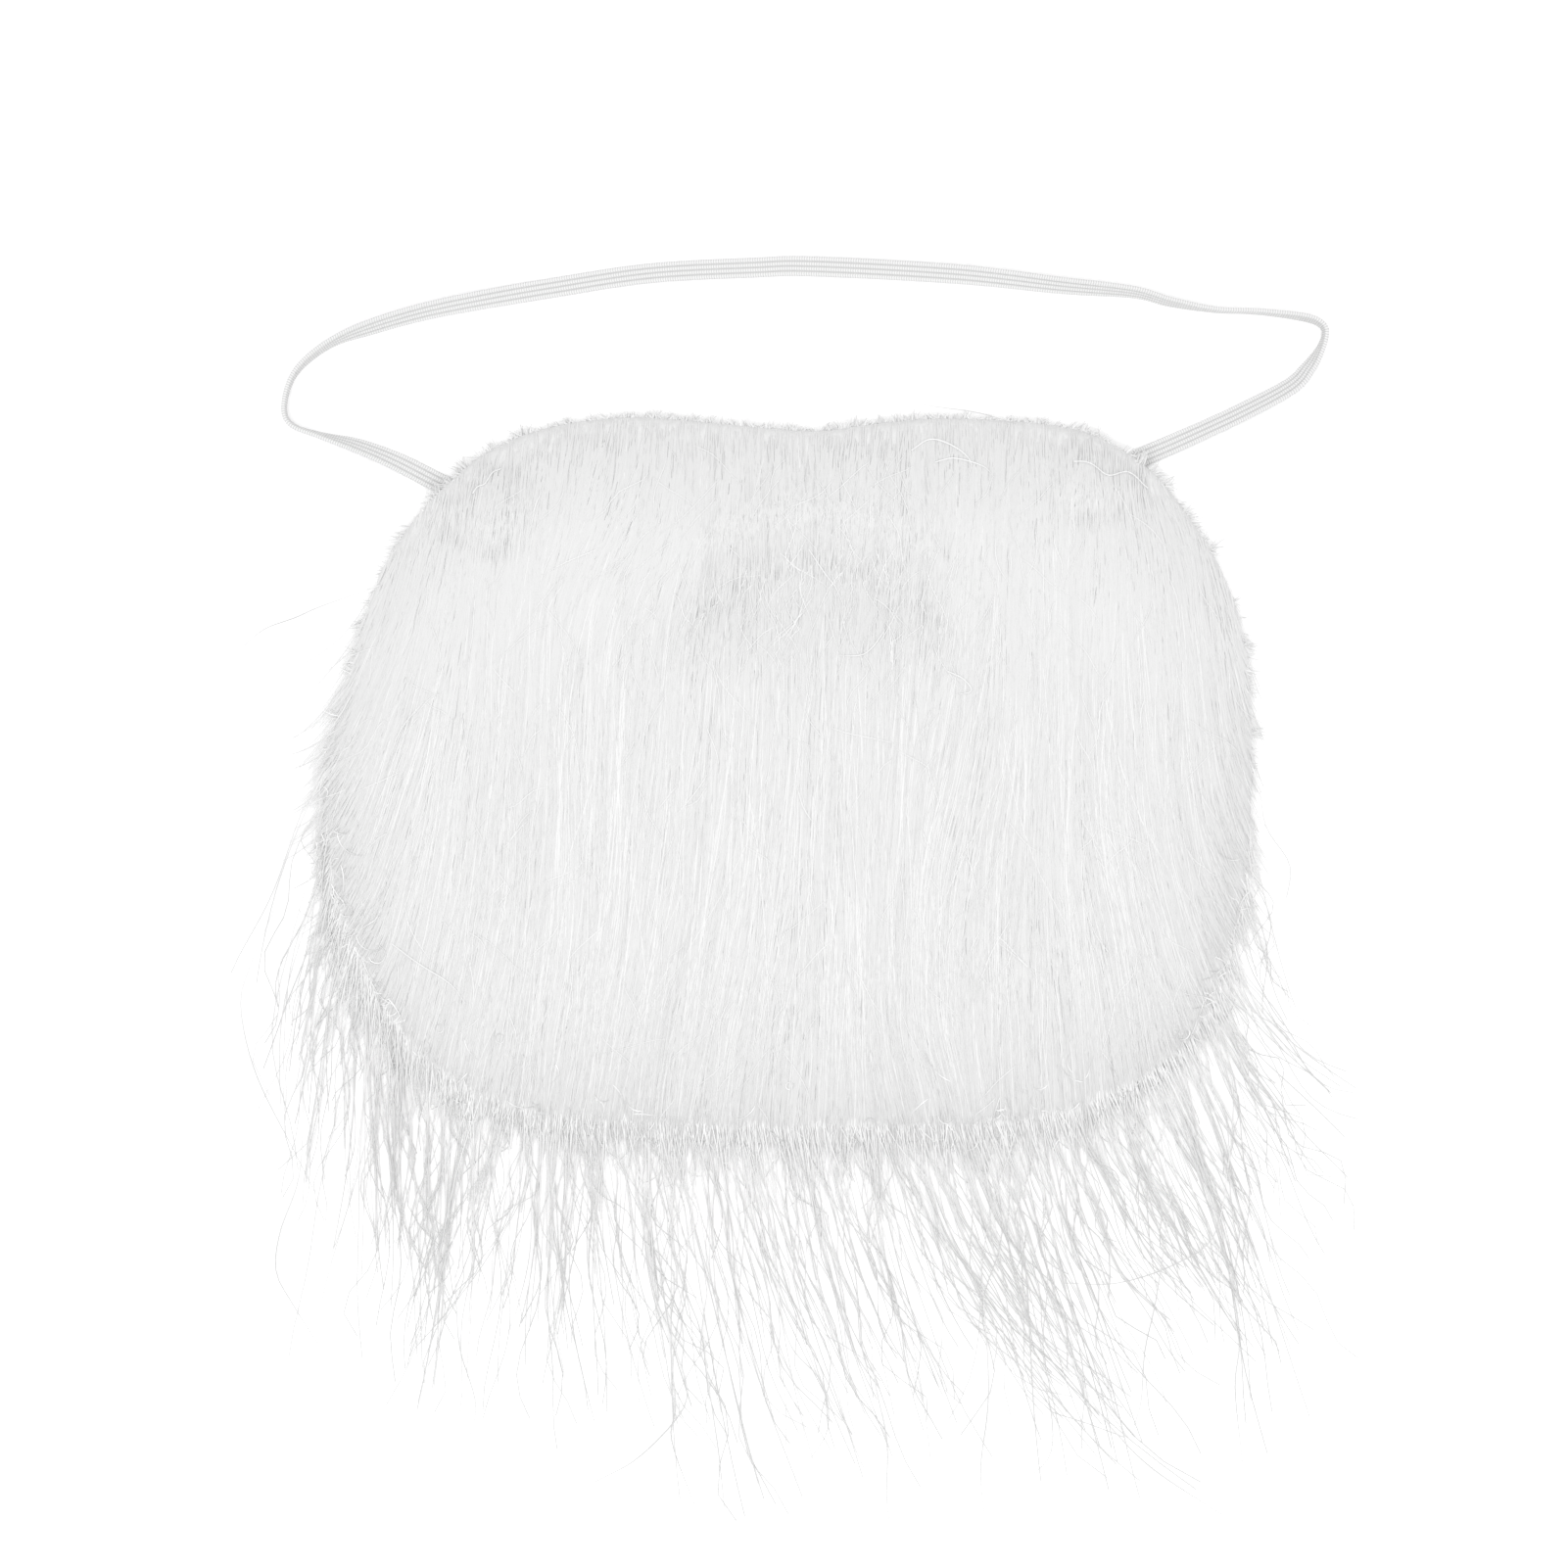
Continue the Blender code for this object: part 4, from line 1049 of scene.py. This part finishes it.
def stitch_routes():
    """Zigzag rows that sew each end of the elastic under the cloth, and the thread ends on top."""
    routes = []
    for end, out in strap_tabs:
        along = (out - end) / np.linalg.norm(out - end)
        beside = turned_left(along)
        for row in STITCH_ROWS:
            spots = []
            for k in range(STITCH_TURNS):
                across = (k / (STITCH_TURNS - 1) - 0.5) * (STRAP_WIDTH + 2.4 * MM)
                spot = end + along * (row + (0.6 * MM if k % 2 else -0.6 * MM)) + beside * across
                clear = abs(across) > STRAP_WIDTH / 2 + 0.4 * MM
                spots.append((*spot, CLOTH_OFF_TABLE + TAB_LIFT * 0.8 if clear else 0.22 * MM))
            routes.append(spots)
    for points, over in ((LEFT_STITCH, 1.2 * MM), (RIGHT_STITCH, 1.4 * MM)):
        flat = spline(np.array(points) * MM, 24)
        wave = 0.5 * MM * np.sin(np.linspace(0, 11, 24))
        height = crown(flat) + over
        routes.append(np.column_stack([flat[:, 0], flat[:, 1] + wave, height]))
    return routes


# ---- Materials ----


def grey(value):
    return (value, value, value, 1.0)


def feed(tree, slot, value):
    """Links a socket to the slot, or sets a plain value on it."""
    if isinstance(value, bpy.types.NodeSocket):
        tree.links.new(value, slot)
    elif value is not None:
        slot.default_value = value


def node_group(name, inputs, outputs):
    """An empty shader group with its sockets, and the sockets of its two end nodes."""
    group = bpy.data.node_groups.new(name, "ShaderNodeTree")
    for socket, value in inputs.items():
        kind = "NodeSocketColor" if isinstance(value, tuple) else "NodeSocketFloat"
        made = group.interface.new_socket(socket, in_out="INPUT", socket_type=kind)
        made.default_value = value
    for socket in outputs:
        kind = "NodeSocketColor" if socket == "Color" else "NodeSocketFloat"
        group.interface.new_socket(socket, in_out="OUTPUT", socket_type=kind)
    given = group.nodes.new("NodeGroupInput").outputs
    return group, given, group.nodes.new("NodeGroupOutput").inputs


def math_node(tree, operation, *values):
    node = tree.nodes.new("ShaderNodeMath")
    node.operation = operation
    for slot, value in zip(node.inputs, values):
        feed(tree, slot, value)
    return node.outputs[0]


def wave(tree, turns):
    """Sine of a number of whole turns."""
    return math_node(tree, "SINE", math_node(tree, "MULTIPLY", turns, 2 * math.pi))


def mix_colours(tree, factor, first, second, blend="MIX"):
    node = tree.nodes.new("ShaderNodeMix")
    node.data_type = "RGBA"
    node.blend_type = blend
    for slot, value in ((0, factor), (6, first), (7, second)):
        feed(tree, node.inputs[slot], value)
    return node.outputs[2]


def map_range(tree, value, low, high, start=None, smooth=False):
    """The way from low to high as a value from 0, or another start, to 1."""
    node = tree.nodes.new("ShaderNodeMapRange")
    node.interpolation_type = "SMOOTHSTEP" if smooth else "LINEAR"
    for slot, fed in (("Value", value), ("From Min", low), ("From Max", high), ("To Min", start)):
        feed(tree, node.inputs[slot], fed)
    return node.outputs[0]


def split_place(tree, uv_map=None):
    """X, Y and Z of the object's own coordinates, or of one of its maps."""
    place = tree.nodes.new("ShaderNodeUVMap" if uv_map else "ShaderNodeTexCoord")
    if uv_map:
        place.uv_map = uv_map
    split = tree.nodes.new("ShaderNodeSeparateXYZ")
    tree.links.new(place.outputs["UV" if uv_map else "Object"], split.inputs[0])
    return split.outputs


def hair_tone_group():
    """Colour of a strand from its tone and its share of the length, both from the hair's map."""
    inputs = {"Dark": grey(0.5), "Light": grey(0.9), "Root shade": 0.8}
    group, given, result = node_group("hair_tone", inputs, ("Color", "Roughness"))
    split = split_place(group, HAIR_UV)
    tone = mix_colours(group, split["X"], given["Dark"], given["Light"])
    # Near the root the colour is multiplied by the root factor, fading to none by two thirds of the
    # length: painted light where the factor is over 1
    rise = map_range(group, split["Y"], 0.15, 0.65, given["Root shade"])
    feed(group, result["Color"], mix_colours(group, 1.0, tone, rise, "MULTIPLY"))
    feed(group, result["Roughness"], math_node(group, "MULTIPLY_ADD", split["X"], -0.12, 0.52))
    return group


def streak_group():
    """Fine streaks along the combing, for surfaces under the hair."""
    inputs = {"Scale": 900.0, "Length": 0.06, "Contrast": 1.0}
    group, given, result = node_group("combed_streaks", inputs, ("Value", "Height"))
    split = split_place(group)
    joined = group.nodes.new("ShaderNodeCombineXYZ")
    squeezed = math_node(group, "MULTIPLY", split["Y"], given["Length"])
    for slot, value in zip(joined.inputs, (split["X"], squeezed, split["Z"])):
        feed(group, slot, value)
    noise = group.nodes.new("ShaderNodeTexNoise")
    fed = {"Vector": joined.outputs[0], "Scale": given["Scale"], "Detail": 5.0, "Roughness": 0.65}
    for slot, value in fed.items():
        feed(group, noise.inputs[slot], value)
    centred = math_node(group, "SUBTRACT", noise.outputs[0], 0.5)
    feed(group, result["Value"], math_node(group, "MULTIPLY_ADD", centred, given["Contrast"], 0.5))
    feed(group, result["Height"], noise.outputs[0])
    return group


def knit_group():
    """Rows of small knitted loops on a flat cloth."""
    inputs = {"Wale width": 0.0009, "Course height": 0.0007}
    group, given, result = node_group("knit_loops", inputs, ("Loop",))
    split = split_place(group)
    wale = math_node(group, "DIVIDE", split["X"], given["Wale width"])
    fold = math_node(group, "PINGPONG", wale, 0.5)
    row = math_node(group, "DIVIDE", split["Y"], given["Course height"])
    loop = wave(group, math_node(group, "MULTIPLY_ADD", fold, 1.3, row))
    rib = math_node(group, "MULTIPLY", wave(group, fold), 0.4)
    both = math_node(group, "MULTIPLY_ADD", loop, 0.35, rib)
    feed(group, result["Loop"], math_node(group, "ADD", both, 0.5))
    return group


def braid_group():
    """Yarns that cross over the ribs of the elastic, and where shade is painted in the grooves
    between the ribs.
    """
    inputs = {"Yarns per cm": 16.0, "Slant": 0.5}
    group, given, result = node_group("braid", inputs, ("Yarn", "Groove_shade"))
    split = split_place(group, WEAVE_UV)
    run = math_node(group, "MULTIPLY", split["X"], given["Yarns per cm"])
    fold = math_node(group, "PINGPONG", split["Y"], 0.5)
    yarn = wave(group, math_node(group, "MULTIPLY_ADD", fold, given["Slant"], run))
    feed(group, result["Yarn"], math_node(group, "MULTIPLY_ADD", yarn, 0.5, 0.5))
    groove_shade = map_range(group, fold, 0.30, 0.06, smooth=True)
    # The band's own edges aren't grooves
    middle = math_node(group, "ABSOLUTE", math_node(group, "SUBTRACT", split["Y"], STRAP_RIBS / 2))
    inside = math_node(group, "LESS_THAN", middle, STRAP_RIBS / 2 - 0.4)
    feed(group, result["Groove_shade"], math_node(group, "MULTIPLY", groove_shade, inside))
    return group


def new_material(name, roughness, sheen=0.0, specular=0.3):
    """A material, its nodes and its Principled shader's inputs, where the even values are set."""
    made = bpy.data.materials.new(name)
    made.use_nodes = True
    shader = made.node_tree.nodes["Principled BSDF"].inputs
    shader["Roughness"].default_value = roughness
    shader["Specular IOR Level"].default_value = specular
    shader["Sheen Weight"].default_value = sheen
    shader["Sheen Roughness"].default_value = 0.5
    return made, made.node_tree, shader


def place_group(tree, group, **values):
    node = tree.nodes.new("ShaderNodeGroup")
    node.node_tree = group
    for name, value in values.items():
        node.inputs[name.replace("_", " ")].default_value = value
    return node.outputs


def ramp(tree, value, *stops):
    """A colour between two stops, each given as its place and its colour."""
    node = tree.nodes.new("ShaderNodeValToRGB")
    for element, (place, colour) in zip(node.color_ramp.elements, stops):
        element.position, element.color = place, colour
    tree.links.new(value, node.inputs[0])
    return node.outputs[0]


def bump(tree, shader, height, strength, distance):
    node = tree.nodes.new("ShaderNodeBump")
    for slot, value in (("Strength", strength), ("Distance", distance), ("Height", height)):
        feed(tree, node.inputs[slot], value)
    tree.links.new(node.outputs[0], shader["Normal"])


hair_tone = hair_tone_group()
streaks = streak_group()


def hair_material(name, dark, light, root_painted_light):
    made, tree, shader = new_material(name, 0.45)
    tone = place_group(tree, hair_tone, Dark=grey(dark), Light=grey(light), Root_shade=root_painted_light)
    feed(tree, shader["Base Color"], tone["Color"])
    feed(tree, shader["Roughness"], tone["Roughness"])
    return made


def streaked_material(name, roughness, streak, dark, light, relief=None, specular=0.3):
    """Streaks between two greys. Relief is the strength and the depth of their bump."""
    made, tree, shader = new_material(name, roughness, specular=specular)
    lines = place_group(tree, streaks, **streak)
    colour = ramp(tree, lines["Value"], (0.2, grey(dark)), (0.8, grey(light)))
    feed(tree, shader["Base Color"], colour)
    if relief:
        bump(tree, shader, lines["Height"], *relief)
    return made


def knit_material():
    made, tree, shader = new_material("backing_knit", 0.9, sheen=0.15)
    loops = place_group(tree, knit_group())
    soil = place_group(tree, streaks, Scale=60.0, Length=1.0, Contrast=0.8)
    colour = ramp(tree, loops["Loop"], (0.1, (0.55, 0.55, 0.54, 1)), (0.8, (0.80, 0.80, 0.79, 1)))
    shade = ramp(tree, soil["Value"], (0.2, grey(0.93)), (0.8, grey(1.0)))
    feed(tree, shader["Base Color"], mix_colours(tree, 1.0, colour, shade, "MULTIPLY"))
    bump(tree, shader, loops["Loop"], 0.7, 0.25 * MM)
    return made


def elastic_material():
    made, tree, shader = new_material("elastic_braid", 0.7, sheen=0.1)
    braid = place_group(tree, braid_group())
    yarn = ramp(tree, braid["Yarn"], (0.1, grey(0.60)), (0.7, grey(0.78)))
    # The grooves between the ribs take the darker grey: painted shade
    feed(tree, shader["Base Color"], mix_colours(tree, braid["Groove_shade"], yarn, grey(0.60)))
    bump(tree, shader, braid["Yarn"], 0.6, 0.12 * MM)
    return made


# ---- Building ----


def add_piece(mesh, finish, slot, *nodes):
    piece = bpy.data.objects.new(mesh.name, mesh)
    bpy.context.scene.collection.objects.link(piece)
    mesh.materials.clear()
    mesh.materials.append(finish)
    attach(piece, "root")
    if nodes:
        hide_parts(*nodes)
    return piece


def build_beard():
    body = hair_material("combed_hair", 0.595, 0.785, 1.0)
    # The fringe is the same white hair as the body, given a darker colour as painted shade, with
    # its roots near the hem lightened by the root factor as painted light; the lone hairs, hem
    # curls and outer strays share it
    fringe = hair_material("fringe_hair", 0.54, 0.68, 1.38)
    rough = hair_material("edge_hair", 0.66, 0.82, 1.0)
    streak = dict(Scale=900.0, Length=0.06, Contrast=1.5)
    underhair = streaked_material("underhair", 0.8, streak, 0.68, 0.76, (0.5, 0.3 * MM))
    streak = dict(Scale=2600.0, Length=0.5, Contrast=1.4)
    thread = streaked_material("sewing_thread", 0.55, streak, 0.74, 0.92, (0.4, 0.05 * MM))

    add_piece(pile_ground(), underhair, "white_pile", "fur_pile")
    for layer in HAIR_LAYERS:
        add_piece(body_layer(layer), body, "white_pile")
    for make, name, finish in (
        (top_hair, "top_hair", body),
        (crossing_hair, "crossing_hair", body),
        (fringe_hair, "fringe_hair", fringe),
        (lone_hair, "lone_hair", fringe),
        (hem_curls, "hem_curls", fringe),
        (edge_hair, "edge_hair", rough),
    ):
        add_piece(make(name), finish, "white_pile")
    add_piece(stray_hair("crossing_strays", CROSSING_STRAYS), body, "white_pile")
    add_piece(stray_hair("outer_strays", OUTER_STRAYS), fringe, "white_pile")

    cloth = add_piece(backing_cloth(), knit_material(), "knit_backing", "backing")
    depth = cloth.modifiers.new("thickness", "SOLIDIFY")
    depth.thickness = CLOTH_THICKNESS
    depth.offset = 1.0

    add_piece(elastic_band(), elastic_material(), "braided_elastic", "elastic_strap")
    add_piece(tube_mesh("sewing_thread", stitch_routes(), THREAD_WIDTH), thread, "braided_elastic")


def build_table():
    bpy.ops.mesh.primitive_plane_add(size=6.0, location=(0, 0, 0))
    table = bpy.context.object
    table.name = "table"
    streak = dict(Scale=25.0, Length=1.0, Contrast=0.4)
    finish = streaked_material("pale_table", 0.9, streak, 0.985, 1.0, specular=0.0)
    table.data.materials.append(finish)


def build_light():
    world = bpy.data.worlds.new("studio")
    bpy.context.scene.world = world
    world.use_nodes = True
    world.node_tree.nodes["Background"].inputs["Color"].default_value = grey(1.0)
    world.node_tree.nodes["Background"].inputs["Strength"].default_value = 0.78
    light = bpy.data.lights.new("softbox", "AREA")
    light.shape = "RECTANGLE"
    light.size, light.size_y = 1.6, 1.6
    light.energy = 18.5
    holder = bpy.data.objects.new("softbox", light)
    holder.location = (-0.06, -0.14, 1.67)
    holder.rotation_euler = (math.radians(5), math.radians(-2), 0)
    bpy.context.scene.collection.objects.link(holder)


def build_camera():
    """Straight above the middle of the photograph's frame, 400 mm wide at the table."""
    data = bpy.data.cameras.new("camera")
    data.sensor_width = 36.0
    data.lens = 100.0
    holder = bpy.data.objects.new("camera", data)
    holder.location = (-1.25 * MM, -7.5 * MM, 0.40025 * data.lens / data.sensor_width + 2 * MM)
    bpy.context.scene.collection.objects.link(holder)
    bpy.context.scene.camera = holder


build_beard()
build_table()
build_light()
build_camera()
bpy.context.scene.view_settings.view_transform = "Standard"
